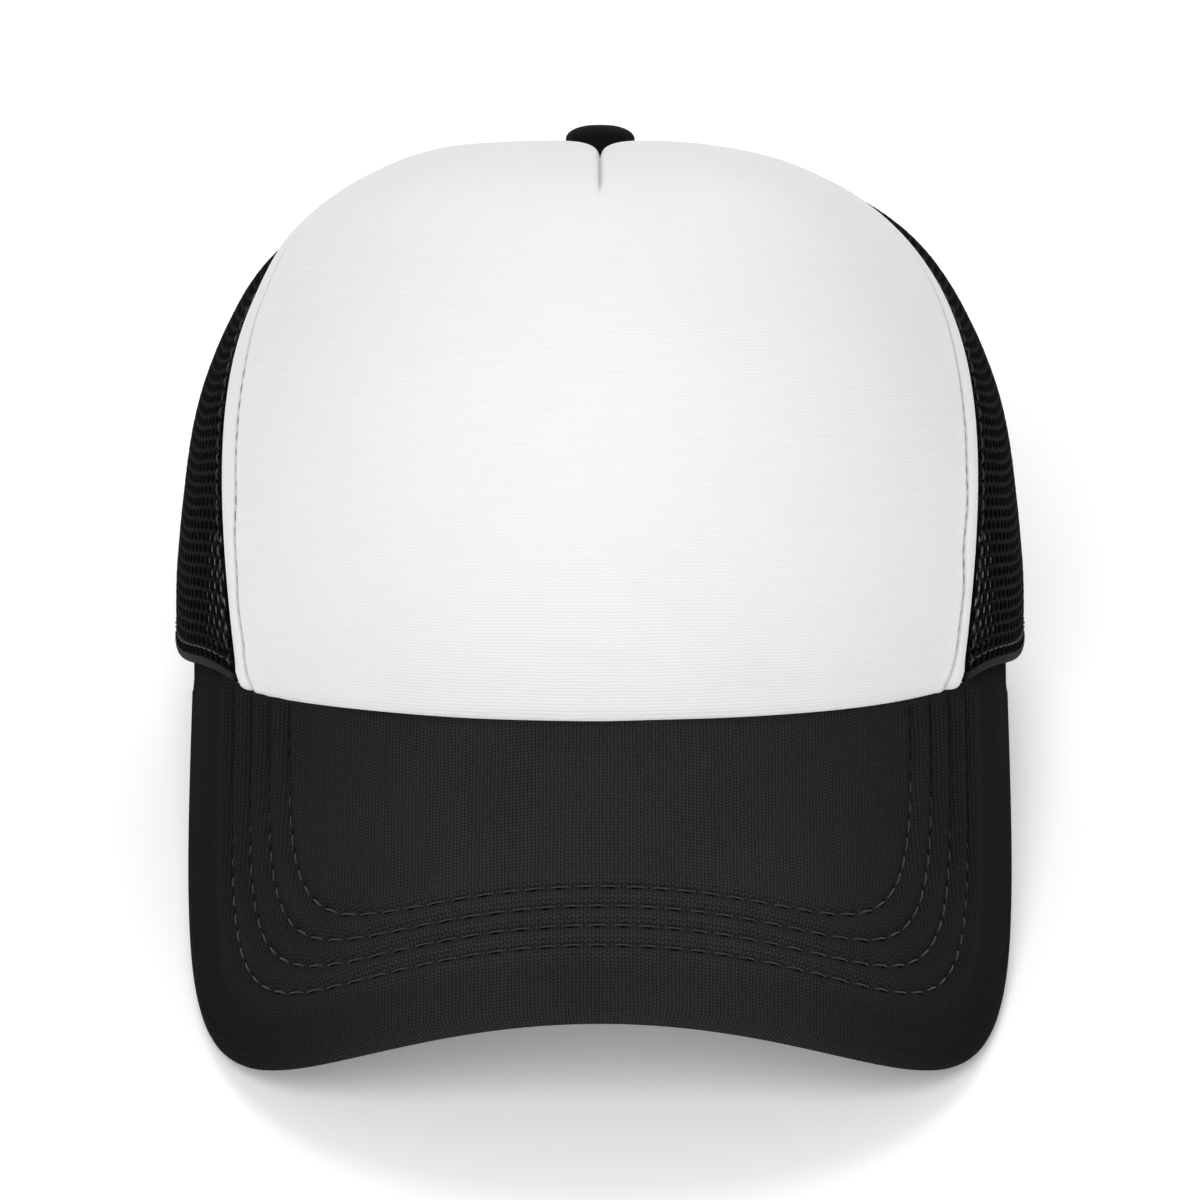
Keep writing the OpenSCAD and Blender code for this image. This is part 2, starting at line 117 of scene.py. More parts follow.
STRAP_HEIGHT = 18.0
STRAP_HALF = STRAP_HEIGHT / 2
STRAP_THICK = 1.2
SNAP_COUNT = 7
SNAP_PITCH = 8.0
SNAPS_CLOSED = 4
HOLE_RADIUS = 2.5
STRAP_CENTRE = BACK_DEPTH - HALF_WIDTH ** 2 / BACK_DEPTH
HOLE_STRAP_OUT = HALF_WIDTH ** 2 / BACK_DEPTH - 3.2
PEG_STRAP_OUT = HOLE_STRAP_OUT - STRAP_THICK - 0.15
STRAP_LOW = 1.5
HINGE = 32.0
BEND_HALF = 5.0          # degrees each side of a strap's hinge, for two points that are worked out but not used
ROOT = 49.0
TIP_REACH = 5.6
TIP_RADIUS = 12.0

# ---- from the worn frame to the row frame: the mount says where the rim's plane lies ----

rim_mount = frame["record"]["mounts"][0]
RIM_CENTRE = np.array(rim_mount["pos_m"])
UP = -np.array(rim_mount["axis"]) / np.linalg.norm(rim_mount["axis"])
SIDE = np.array((1.0, 0.0, 0.0))
WORN_AXES = np.array((SIDE, np.cross(UP, SIDE), UP))


def place(points):
    return RIM_CENTRE + MM * (np.asarray(points, float) @ WORN_AXES)


# ---- the crown's surface ----

def sin(degrees):
    return np.sin(np.radians(degrees))


def cos(degrees):
    return np.cos(np.radians(degrees))


def smooth(x):
    """0 below 0, 1 above 1, and a smooth step between."""
    x = np.clip(x, 0, 1)
    return x * x * (3 - 2 * x)


def hump(x, middle, width):
    return np.exp(-((x - middle) / width) ** 2)


def norm(v):
    return np.linalg.norm(v, axis=-1, keepdims=True)


def running_length(line):
    """Length along a line of points, from its first point to each of them."""
    return np.concatenate(([0], np.cumsum(norm(np.diff(line, axis=0))[:, 0])))


def bisect(below, shape, top, rounds):
    """The value between 0 and top at which below() turns false, for an array of that shape."""
    low, high = np.zeros(shape), np.full(shape, top)
    for _ in range(rounds):
        mid = (low + high) / 2
        more = below(mid)
        low, high = np.where(more, mid, low), np.where(more, high, mid)
    return (low + high) / 2


def by_azimuth(values, phi):
    end = np.where(cos(phi) > 0, values[0], values[2])
    return values[1] + (end - values[1]) * cos(phi) ** 2


def bend_drop(x):
    return VISOR_BEND - np.sqrt(VISOR_BEND ** 2 - x * x)


def corner_rise(x, phi):
    """How far the drawn lower edge is pulled up towards the front panel's corners."""
    return CORNER_RISE * np.clip((np.abs(x) - 20) / 55, 0, 1) ** 2 * smooth((84 - np.abs(phi)) / 22)


def rim_height(x, y, phi):
    """Height of the crown's lower edge, which follows the visor's surface over the forehead."""
    lift = SEAM_LIFT + (FRONT_DEPTH + y) * math.tan(VISOR_SLOPE) - bend_drop(x) / math.cos(VISOR_SLOPE)
    return (lift + np.sqrt(lift * lift + 1)) / 2 * smooth((76 - np.abs(phi)) / 16) + corner_rise(x, phi)


def rim(phi):
    depth = np.where(cos(phi) > 0, FRONT_DEPTH, BACK_DEPTH)
    power = np.where(cos(phi) > 0, FRONT_POWER, 2.0)
    across, deep = np.abs(sin(phi)) / HALF_WIDTH, np.abs(cos(phi)) / depth
    radius = (across ** power + deep ** power) ** (-1 / power)
    x, y = radius * sin(phi), -radius * cos(phi)
    return np.stack((x, y, rim_height(x, y, phi)), -1)


def crown(phi, t):
    phi, t = np.broadcast_arrays(np.asarray(phi, float), np.asarray(t, float))
    a = rim(phi)
    flare = by_azimuth(RIM_FLARE, phi)
    b = a + np.stack((flare * sin(phi), -flare * cos(phi), by_azimuth(RIM_HANDLE, phi)), -1)
    d = np.array((0.0, -BUTTON_FORWARD, CROWN_HEIGHT))
    back = a[..., 1] - d[1]
    c = d + by_azimuth(TOP_HANDLE, phi)[..., None] * np.stack((a[..., 0], back, -CREST_SLOPE * back), -1)
    s = 1 - t
    lift = np.where(cos(phi) > 0, SHOULDER_LIFT * (4 * s * t * sin(2 * phi)) ** 2, 0.0)
    s, t = s[..., None], t[..., None]
    point = s ** 3 * a + 3 * s * s * t * b + 3 * s * t * t * c + t ** 3 * d
    point[..., 2] += lift
    return point


def crown_normal(phi, t):
    across = crown(np.add(phi, 0.5), t) - crown(np.subtract(phi, 0.5), t)
    up = crown(phi, np.add(t, 0.004)) - crown(phi, np.subtract(t, 0.004))
    n = np.cross(across, up)
    return n / norm(n)


def shell(phi, t, depth):
    """A point of the crown at a depth under its outer face."""
    return crown(phi, t) - np.asarray(depth, float)[..., None] * crown_normal(phi, t)


def reach(phi, t):
    """Millimetres along the crown for one degree of azimuth."""
    return norm(crown(np.add(phi, 0.5), t) - crown(np.subtract(phi, 0.5), t))[..., 0]


def above_rim(phi, t):
    """Straight distance from the rim to a point of the crown."""
    return norm(crown(phi, t) - crown(phi, 0 * t))[..., 0]


def seam(k, t):
    """Azimuth of the front seam (1), the side seam (2) and the seam at the nape (3)."""
    if k == 3:
        return 180 + 0 * np.asarray(t, float)
    start, sweep = FRONT_SEAM if k == 1 else SIDE_SEAM
    return start + sweep * np.asarray(t, float)


def share_at(phi, height):
    """How far up a meridian a height above its rim lies."""
    def below(t):
        return crown(phi, t)[..., 2] - crown(phi, 0 * t)[..., 2] < height

    return bisect(below, np.shape(phi), 0.5, 16)


def arch(psi, size, depth):
    """The rear opening's outline: psi runs from one foot over the top, size 1 is the net's edge."""
    t = size * ARCH_TOP * sin(psi)
    out = size * ARCH_HALF * np.abs(cos(psi))
    side = seam(2, t)
    phi = side + (180 - side) * (1 - out / (180 - SIDE_SEAM[0]))
    return shell(np.where(cos(psi) < 0, -phi, phi), t, depth)


# ---- the visor's surface: u across and v forward, laid flat, then bent round a cylinder ----

def visor_point(u, v, depth):
    turn = u / VISOR_BEND
    r = VISOR_BEND - np.asarray(depth, float)
    down = VISOR_BEND - r * np.cos(turn)
    y = -FRONT_DEPTH - v * math.cos(VISOR_SLOPE) + down * math.sin(VISOR_SLOPE)
    z = SEAM_LIFT - v * math.sin(VISOR_SLOPE) - down * math.cos(VISOR_SLOPE)
    return np.stack((r * np.sin(turn), y, z), -1)


def visor_edge(angle, inset, front_share=1.0):
    wide = VISOR_HALF_WIDTH - inset
    long = VISOR_LENGTH + VISOR_CENTRE_BACK - front_share * inset
    r = ((np.abs(sin(angle)) / wide) ** VISOR_POWER + (np.abs(cos(angle)) / long) ** VISOR_POWER)
    r = r ** (-1 / VISOR_POWER)
    return r * sin(angle), r * cos(angle) - VISOR_CENTRE_BACK


# ---- mesh building ----

def quads(grid):
    """Faces of a grid of vertex numbers."""
    return np.stack((grid[:-1, :-1], grid[:-1, 1:], grid[1:, 1:], grid[1:, :-1]), -1).reshape(-1, 4)


def outline(grid):
    """The vertex numbers round a grid's edge."""
    return np.concatenate((grid[0], grid[1:, -1], grid[-1, -2::-1], grid[-2:0:-1, 0]))


def weld(mesh, distance=2e-6):
    """Joins vertices that coincide, drops faces without area and turns every face outward."""
    work = bmesh.new()
    work.from_mesh(mesh)
    bmesh.ops.remove_doubles(work, verts=work.verts, dist=distance)
    bmesh.ops.dissolve_degenerate(work, edges=work.edges, dist=distance)
    bmesh.ops.recalc_face_normals(work, faces=work.faces)
    work.to_mesh(mesh)
    work.free()


def as_tuples(faces):
    return faces if isinstance(faces, list) else [tuple(f) for f in faces.tolist()]


def piece(name, points, faces, surface, stands_for=(), body=CROWN, cloth=None, painted_shade=None):
    """An object with one material.

    cloth holds each point's place on the flat cloth, in millimetres, and the last argument how far painted
    shade darkens each point's colour, from 0 to 1.
    """
    mesh = bpy.data.meshes.new(name)
    mesh.from_pydata(place(points).tolist(), [], as_tuples(faces))
    if cloth is not None:
        layer = mesh.uv_layers.new(name="cloth")
        corner = np.empty(len(mesh.loops), np.int32)
        mesh.loops.foreach_get("vertex_index", corner)
        layer.data.foreach_set("uv", np.asarray(cloth, np.float32)[corner].ravel())
    if painted_shade is not None:
        mesh.attributes.new("painted_shade", "FLOAT", "POINT").data.foreach_set("value", painted_shade.ravel())
    weld(mesh)
    mesh.polygons.foreach_set("use_smooth", np.ones(len(mesh.polygons), bool))
    mesh.materials.append(surface)
    obj = bpy.data.objects.new(name, mesh)
    bpy.context.scene.collection.objects.link(obj)
    if body:
        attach(obj, body)
    if stands_for:
        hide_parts(*stands_for)
    return obj


def sheet_mesh(outer, inner, cloth):
    """Points, faces and cloth places of a closed sheet between two grids of points."""
    rows, cols = outer.shape[:2]
    grid = np.arange(rows * cols).reshape(rows, cols)
    rim_loop = outline(grid)
    after = np.roll(rim_loop, -1)
    other = rows * cols
    wall = np.stack((after, rim_loop, rim_loop + other, after + other), -1)
    faces = np.concatenate((quads(grid), quads(grid + other)[:, ::-1], wall))
    points = np.concatenate((outer.reshape(-1, 3), inner.reshape(-1, 3)))
    flat = cloth.reshape(-1, 2)
    return points, faces, np.concatenate((flat, flat))


def sheet_piece(name, outer, inner, flat, surface, stands_for, painted_shade=None):
    """A closed sheet between two grids of points. Only its outer face gets the painted shade."""
    points, faces, cloth = sheet_mesh(outer, inner, flat)
    if painted_shade is not None:
        painted_shade = np.concatenate((painted_shade, 0 * painted_shade))
    return piece(name, points, faces, surface, stands_for, cloth=cloth, painted_shade=painted_shade)


def tube_cloth(around, along):
    """Cloth places of a tube: lengths round its profile and along its path."""
    return np.stack(np.broadcast_arrays(around[None, :], along[:, None]), -1).reshape(-1, 2)


def sweep_mesh(rings):
    """Points and faces of a capped tube: one ring of points for each step of a path."""
    steps, sides = rings.shape[:2]
    grid = np.arange(steps * sides).reshape(steps, sides)
    grid = np.concatenate((grid, grid[:, :1]), 1)
    caps = [tuple(grid[0, :-1][::-1].tolist()), tuple(grid[-1, :-1].tolist())]
    return rings.reshape(-1, 3), as_tuples(quads(grid)) + caps


def cut_sheet(obj, flat, area=None):
    """Works out the area of a piece's flat cut from the places in flat (in millimetres) before it was sewn,
    and returns the piece unchanged.
    """
    wide, long = np.ptp(flat.reshape(-1, 2), 0)
    if area is None:
        one, other = flat[1:, 1:] - flat[:-1, :-1], flat[1:, :-1] - flat[:-1, 1:]
        area = np.abs(one[..., 0] * other[..., 1] - one[..., 1] * other[..., 0]).sum() / 2
    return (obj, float(min(area, wide * long)) * MM * MM)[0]


def modified(obj, kind, **settings):
    """obj with a modifier's result applied to its mesh."""
    step = obj.modifiers.new(kind.lower(), kind)
    for key, value in settings.items():
        setattr(step, key, value)
    graph = bpy.context.evaluated_depsgraph_get()
    result = bpy.data.meshes.new_from_object(obj.evaluated_get(graph))
    obj.modifiers.clear()
    obj.data = result
    return obj


# ---- thread ----

def stitch_mesh(starts, ends, outward, radius, sides=6, rings=7):
    """Threads that come up out of the cloth, lie on it and go down again."""
    share = np.linspace(0, 1, rings)
    along = ends - starts
    length = norm(along)
    along = along / length
    side = np.cross(along, outward)
    side = side / norm(side)
    lift = radius * (2.1 * np.sin(np.pi * share) ** 0.5 - 1.3)
    thick = radius * (0.7 + 0.3 * np.sin(np.pi * share))
    centre = (starts[:, None] + (ends - starts)[:, None] * share[None, :, None]
              + outward[:, None] * lift[None, :, None])
    turn = np.arange(sides) * 2 * np.pi / sides
    spoke = np.cos(turn)[None, :, None] * side[:, None] + np.sin(turn)[None, :, None] * outward[:, None]
    points = centre[:, :, None] + thick[None, :, None, None] * spoke[:, None]
    count = len(starts)
    grid = np.arange(count * rings * sides).reshape(count, rings, sides)
    grid = np.concatenate((grid, grid[:, :, :1]), 2)
    faces = [f for one in grid for f in as_tuples(quads(one))]
    faces += [tuple(one[0, :-1][::-1].tolist()) for one in grid]
    faces += [tuple(one[-1, :-1].tolist()) for one in grid]
    place_on = np.empty((count, rings, sides, 2))
    place_on[..., 0] = share[None, :, None] * length[:, :, None]
    place_on[..., 1] = (turn * radius)[None, None, :]
    return points.reshape(-1, 3), faces, place_on.reshape(-1, 2)


def row_of_stitches(line, outward, pitch, fill=0.72):
    """Starts, ends and outward directions of the stitches along a line of points."""
    along = running_length(line)
    count = max(1, int(round(along[-1] / pitch)))
    first = np.arange(count) * along[-1] / count
    last = first + fill * along[-1] / count

    def at(distance, values):
        return np.stack([np.interp(distance, along, values[:, k]) for k in range(3)], -1)

    up = at((first + last) / 2, outward)
    return at(first, line), at(last, line), up / norm(up)


def thread(name, rows, radius, pitch, surface, stands_for=(), fill=0.72):
    """One piece made of the stitches of several rows, each a line of points and outward directions."""
    sets = [row_of_stitches(line, outward, pitch, fill) for line, outward in rows]
    starts, ends, outward = (np.concatenate([s[k] for s in sets]) for k in range(3))
    points, faces, cloth = stitch_mesh(starts, ends, outward, radius)
    return piece(name, points, faces, surface, stands_for, cloth=cloth)


# ---- materials ----

class Surface:
    """A Principled material, with short ways to add the procedural nodes that feed it."""

    def __init__(self, name, roughness, specular=0.5, **sockets):
        self.material = bpy.data.materials.new(name)
        self.material.use_nodes = True
        self.nodes = self.material.node_tree.nodes
        self.links = self.material.node_tree.links
        self.shader = self.nodes["Principled BSDF"]
        self.shader.inputs["Roughness"].default_value = roughness
        self.shader.inputs["Specular IOR Level"].default_value = specular
        for socket, value in sockets.items():
            self.shader.inputs[socket.replace("_", " ").title()].default_value = value
        self.space = self.nodes.new("ShaderNodeTexCoord").outputs["Object"]

    def join(self, source, target):
        self.links.new(source, target)

    def math(self, kind, a, b=None, c=None):
        node = self.nodes.new("ShaderNodeMath")
        node.operation = kind
        for socket, value in zip(node.inputs, (a, b, c)):
            if value is None:
                continue
            if isinstance(value, (int, float)):
                socket.default_value = value
            else:
                self.join(value, socket)
        return node.outputs[0]

    def noise(self, size, detail=3.0, stretch=(1, 1, 1)):
        """Noise from 0 to 1 with blotches of about that size in millimetres."""
        scaled = self.nodes.new("ShaderNodeVectorMath")
        scaled.operation = "MULTIPLY"
        scaled.inputs[1].default_value = [1 / (size * MM * s) for s in stretch]
        self.join(self.space, scaled.inputs[0])
        node = self.nodes.new("ShaderNodeTexNoise")
        node.inputs["Scale"].default_value = 1.0
        node.inputs["Detail"].default_value = detail
        self.join(scaled.outputs[0], node.inputs["Vector"])
        return node.outputs["Fac"]

    def cells(self, size):
        """Distance from the nearest of scattered points, about that many millimetres apart."""
        node = self.nodes.new("ShaderNodeTexVoronoi")
        node.inputs["Scale"].default_value = 1 / (size * MM)
        self.join(self.space, node.inputs["Vector"])
        return node.outputs["Distance"]

    def cloth(self):
        """Places across and along the flat cloth, in millimetres."""
        source = self.nodes.new("ShaderNodeUVMap")
        source.uv_map = "cloth"
        split = self.nodes.new("ShaderNodeSeparateXYZ")
        self.join(source.outputs["UV"], split.inputs[0])
        return split.outputs["X"], split.outputs["Y"]

    def painted_shade(self):
        """Painted shade from the mesh's per-point attribute, from 0 to 1, that darkens the colour."""
        node = self.nodes.new("ShaderNodeAttribute")
        node.attribute_name = "painted_shade"
        return node.outputs["Fac"]

    def wave(self, place, period, shift=0.0):
        """A sine from 0 to 1 along a place in millimetres."""
        turned = self.math("MULTIPLY_ADD", place, 2 * math.pi / period, shift)
        return self.math("MULTIPLY_ADD", self.math("SINE", turned), 0.5, 0.5)

    def blend(self, share, low, high):
        """A number between two others."""
        return self.math("MULTIPLY_ADD", share, high - low, low)

    def colour(self, share, dark, light):
        mix = self.nodes.new("ShaderNodeMix")
        mix.data_type = "RGBA"
        factor, first, second = (mix.inputs[k] for k in (0, 6, 7))
        first.default_value = (*dark, 1)
        second.default_value = (*light, 1)
        self.join(share, factor)
        self.join(mix.outputs[2], self.shader.inputs["Base Color"])

    def roughness(self, share, low, high):
        self.join(self.blend(share, low, high), self.shader.inputs["Roughness"])

    def relief(self, height, depth, strength=1.0):
        """Bump of a height from 0 to 1, depth millimetres deep."""
        node = self.nodes.new("ShaderNodeBump")
        node.inputs["Strength"].default_value = strength
        node.inputs["Distance"].default_value = depth * MM
        self.join(height, node.inputs["Height"])
        self.join(node.outputs["Normal"], self.shader.inputs["Normal"])


WALE, COURSE = 0.733, 0.787      # the knit's columns and rows of loops


def ribbed_polyester():
    """White facing of the front panel: fine level ribs, each a row of looped yarn, with painted shade in
    its crease and slit.
    """
    s = Surface("ribbed_polyester", 0.75, 0.25, sheen_weight=0.25, sheen_roughness=0.4)
    across, up = s.cloth()
    drift = s.blend(s.noise(14, 1), -0.3, 0.3)
    ribs = s.wave(s.math("ADD", up, drift), 0.645)
    loops = s.wave(across, 0.9)
    yarn = s.math("MULTIPLY_ADD", s.math("MULTIPLY", ribs, loops), 0.2, s.math("MULTIPLY", ribs, 0.8))
    height = s.math("MULTIPLY_ADD", s.noise(0.4, 3), 0.7, yarn)
    s.relief(height, 0.06, 0.8)
    shade = s.math("MULTIPLY_ADD", s.noise(14, 3), 0.5, s.math("MULTIPLY", yarn, 0.5))
    # Painted shade: the per-point value darkens the colour toward the grey (0.33), which is there only for
    # that shade
    shade = s.math("MULTIPLY_ADD", s.painted_shade(), -0.75, s.blend(shade, 0.87, 1.0))
    s.colour(shade, (0.33, 0.33, 0.335), (0.89, 0.89, 0.89))
    return s.material


def open_foam():
    """Cream foam with open pores, painted darker in them as shade, and a little yellower there."""
    s = Surface("open_foam", 0.95, 0.1)
    pores = s.math("MINIMUM", s.cells(1.1), 1.0)
    fine = s.noise(0.5, 4)
    s.relief(s.math("MULTIPLY_ADD", fine, 0.5, pores), 0.35, 0.9)
    # Painted shade in the pores, with a slight yellow tone
    s.colour(s.math("MULTIPLY_ADD", fine, 0.4, pores), (0.52, 0.51, 0.47), (0.8, 0.79, 0.75))
    return s.material


def net_yarn():
    """Black filament yarn of the net, with the loops showing along each strand."""
    s = Surface("net_yarn", 0.7, 0.035)
    across, up = s.cloth()
    twist = s.wave(s.math("ADD", across, up), 0.34)
    fibres = s.noise(0.16, 3)
    height = s.math("MULTIPLY_ADD", twist, 0.6, fibres)
    s.relief(height, 0.07, 0.8)
    s.colour(s.math("MULTIPLY", fibres, 1.1), (0.0006, 0.0006, 0.0007), (0.004, 0.004, 0.0042))
    s.roughness(fibres, 0.55, 0.8)
    return s.material


def woven_tape(name, dark, light):
    """Herringbone tape: diagonal ribs that turn at the middle of each 3 mm band."""
    s = Surface(name, 0.8, 0.1, sheen_weight=0.03, sheen_roughness=0.4)
    across, along = s.cloth()
    zigzag = s.math("PINGPONG", across, 1.5)
    ribs = s.wave(s.math("ADD", along, s.math("MULTIPLY", zigzag, 1.2)), 0.8)
    fibres = s.noise(0.25, 3)
    s.relief(s.math("MULTIPLY_ADD", fibres, 0.4, ribs), 0.12, 0.9)
    s.colour(s.math("MULTIPLY_ADD", ribs, 0.5, s.math("MULTIPLY", fibres, 0.5)), dark, light)
    return s.material


def visor_knit():
    """Charcoal knit of the visor: wales of small loops, the high yarn painted lighter as a faint sheen, and
    painted shade from a per-point value.
    """
    s = Surface("visor_knit", 0.9, 0.04)
    across, along = s.cloth()
    place_across = s.math("ADD", across, s.blend(s.noise(9, 2), -0.3, 0.3))
    wales = s.wave(place_across, WALE)
    swing = s.math("PINGPONG", place_across, WALE)
    loops = s.wave(s.math("MULTIPLY_ADD", swing, 0.5 * COURSE / WALE, along), COURSE)
    fibres = s.noise(0.25, 3)
    knit = s.math("MULTIPLY", s.blend(wales, 0.3, 1.0), s.blend(loops, 0.3, 1.0))
    s.relief(s.math("MULTIPLY_ADD", fibres, 0.6, knit), 0.14, 1.0)
    patches = s.math("MULTIPLY_ADD", s.noise(22, 3), 0.3, s.math("MULTIPLY", s.noise(0.9, 2), 0.5))
    # The high yarn of the knit is painted lighter, as a faint sheen; the patches are random tone
    shade = s.math("MULTIPLY_ADD", knit, 0.75, s.math("MULTIPLY", patches, fibres))
    # Painted shade: the per-point value darkens the colour in the needle holes, along the rows, on the lip
    # and down the visor's sides
    lit = s.math("MAXIMUM", s.math("SUBTRACT", 1.0, s.painted_shade()), 0.0)
    s.colour(s.math("MULTIPLY", shade, lit), (0.0008, 0.0008, 0.0009), (0.046, 0.046, 0.047))
    return s.material


def twill(name, dark, light, rib=0.7):
    """Cotton twill: diagonal ribs crossed by fine yarn."""
    s = Surface(name, 0.85, 0.07, sheen_weight=0.02, sheen_roughness=0.4)
    across, along = s.cloth()
    ribs = s.wave(s.math("ADD", across, along), rib)
    yarn = s.wave(s.math("SUBTRACT", along, across), rib * 0.55)
    fibres = s.noise(0.3, 3)
    weave = s.math("MULTIPLY_ADD", yarn, 0.3, s.math("MULTIPLY", ribs, 0.7))
    s.relief(s.math("MULTIPLY_ADD", fibres, 0.4, weave), 0.14, 0.9)
    s.colour(s.math("MULTIPLY_ADD", weave, 0.5, s.math("MULTIPLY", fibres, 0.5)), dark, light)
    return s.material


def twisted_thread(name, dark, light):
    """Sewing thread: the ply wound round each stitch."""
    s = Surface(name, 0.5, 0.35, sheen_weight=0.2, sheen_roughness=0.4)
    along, around = s.cloth()
    ply = s.wave(s.math("MULTIPLY_ADD", around, 0.9, along), 0.42)
    s.relief(ply, 0.08, 0.8)
    s.colour(s.math("MULTIPLY_ADD", s.noise(0.3, 2), 0.5, s.math("MULTIPLY", ply, 0.5)), dark, light)
    return s.material


def satin_plastic():
    """Black moulded polyethylene: slightly uneven gloss and fine scuffs."""
    s = Surface("satin_plastic", 0.36, 0.45)
    scuffs = s.noise(2.2, 5, (1, 0.25, 1))
    s.roughness(scuffs, 0.28, 0.5)
    s.relief(s.math("MULTIPLY_ADD", s.noise(0.5, 3), 0.5, scuffs), 0.03, 0.5)
    s.colour(scuffs, (0.011, 0.011, 0.012), (0.021, 0.021, 0.022))
    return s.material


def mottled(name, base, size, detail, stretch, rough, bump, dark, light, **sockets):
    """A hard surface whose gloss, relief and tone all follow one noise."""
    s = Surface(name, *base, **sockets)
    marks = s.noise(size, detail, stretch)
    s.roughness(marks, *rough)
    s.relief(marks, *bump)
    s.colour(marks, dark, light)
    return s.material


def satin_ribbon():
    """White label ribbon: fine weft ribs and a soft gloss."""
    s = Surface("satin_ribbon", 0.42, 0.4, sheen_weight=0.3, sheen_roughness=0.3)
    across, along = s.cloth()
    weft = s.wave(along, 0.3)
    warp = s.wave(across, 0.2)
    s.relief(s.math("MULTIPLY_ADD", warp, 0.4, weft), 0.04, 0.7)
    s.colour(s.math("MULTIPLY_ADD", s.noise(4, 2), 0.4, s.math("MULTIPLY", weft, 0.6)),
             (0.74, 0.74, 0.73), (0.88, 0.88, 0.87))
    return s.material


def studio_paper():
    """Pale matte floor that glows a little, so it lights the cap from below like a lit product table; there
    is no lamp under it.
    """
    s = Surface("studio_paper", 0.9, 0.05, emission_color=(1, 1, 1, 1), emission_strength=0.22)
    grain = s.noise(40, 4)
    s.colour(grain, (0.93, 0.93, 0.93), (0.95, 0.95, 0.95))
    return s.material


WHITE_CLOTH = ribbed_polyester()
WHITE_FOAM = open_foam()
NET_YARN = net_yarn()
BLACK_TAPE = woven_tape("black_tape", (0.004, 0.004, 0.0043), (0.016, 0.016, 0.0165))
KNIT = visor_knit()
BAND_TWILL = twill("band_twill", (0.01, 0.01, 0.0105), (0.032, 0.032, 0.033))
BUTTON_TWILL = twill("button_twill", (0.0006, 0.0006, 0.0007), (0.0085, 0.0085, 0.0087), 0.8)
DARK_THREAD = twisted_thread("dark_thread", (0.008, 0.008, 0.0085), (0.03, 0.03, 0.031))
VISOR_THREAD = twisted_thread("visor_thread", (0.015, 0.015, 0.016), (0.045, 0.045, 0.047))
# Grey thread sunk in the front panel's crease: its grey is partly the thread's own colour and partly
# painted shade of the crease
LIGHT_THREAD = twisted_thread("light_thread", (0.26, 0.26, 0.265), (0.42, 0.42, 0.425))
PLASTIC = satin_plastic()
# Natural polyethylene sheet with the mottle of regrind, and nickel-plated steel with turning marks
BOARD_PLASTIC = mottled("visor_board_plastic", (0.5, 0.4), 3, 5, (1, 1, 1), (0.4, 0.65), (0.05, 0.5),
                        (0.62, 0.62, 0.58), (0.78, 0.78, 0.74))
STEEL = mottled("plated_steel", (0.3, 0.5), 0.6, 4, (1, 1, 0.1), (0.22, 0.45), (0.02, 0.6),
                (0.48, 0.47, 0.45), (0.68, 0.67, 0.65), metallic=1.0)
RIBBON = satin_ribbon()


# ---- front panel ----

EDGE_ROLL = 1.1          # radius of the panel's rounded side edge
FOOT_ROLL = 0.35         # and of its lower edge
FOOT_SINK = 0.9          # the lower edge is pressed this far into the visor's cover
CORNER = 4.5             # radius of the panel's lower corners
CREASE_IN = 4.8          # from the side seam to the row of stitches, at the foot
CREASE_DEEP = 0.5
CREASE_WIDE = 0.35
DART_DEEP = 2.2
DART_WIDE = 2.0
DART_FROM, DART_TO = 0.74, 0.9
SLIT_FROM, SLIT_TO = 0.61, 0.68
SLIT_DEEP = 1.3
CREST_PUFF = 0.9         # the foam holds the crest this far out
SHOULDER_PUFF = 1.2      # and the right shoulder this much further
PANEL_PITCH = 3.2        # from stitch to stitch along the panel's sides

# The panel's columns: distances in from its side edge, and out from its middle
EDGE_COLUMNS = np.concatenate((np.arange(0, 1.3, 0.2), np.arange(1.4, 4.3, 0.38),
                               CREASE_IN + 0.1 * np.arange(-3, 4),
                               CREASE_IN + np.array((0.6, 0.9, 1.2, 1.6, 2.2, 2.9, 3.7, 4.6))))
DART_COLUMNS = np.array((5.4, 3.9, 2.8, 2.0, 1.4, 1.0, 0.7, 0.45, 0.25, 0.1, 0.0))


def rolled(distance, radius):
    """Depth of a quarter-round edge, at a distance from the edge."""
    inside = np.clip(radius - distance, 0, radius)
    return radius - np.sqrt(np.clip(radius ** 2 - inside ** 2, 0, None))


def half_panel(t):
    """Millimetres from the middle of the front panel to its side seam."""
    steps = np.linspace(0, 1, 25)
    half = seam(1, t)
    return half * np.mean([reach(half * k, t) for k in steps], 0)


def taper(half):
    """The panel's details shrink with its half width toward the button."""
    return np.clip(half / 30, 0.02, 1)


def edge_distance(phi, t, half):
    """Distance in from the side seam, as wide as the details there are drawn."""
    return (seam(1, t) - np.abs(phi)) / seam(1, t) * half / taper(half)


def crease_at(side, foot):
    """Distance from the side edge to the wandering row of stitches."""
    wander = 0.3 * np.sin(foot / 4.2 + side) + 0.2 * np.sin(foot / 2.3 + 2 * side)
    spread = np.where(side < 0, 4.5, 2.5) * smooth(foot / 70)
    return (CREASE_IN + spread + wander * smooth((70 - foot) / 40) + 0.1 * np.sin(foot / 3.1)
            + 2.5 * np.exp(-(foot / 3) ** 2))


def crease_hollow(edge, crease):
    return np.exp(-np.abs(edge - crease) / CREASE_WIDE)


def shoulder(phi, t):
    """1 at the cap's right shoulder, where the panel stands over the net behind it."""
    return smooth((-phi - 40) / 30) * smooth((t - 0.4) / 0.14) * smooth((0.92 - t) / 0.14)


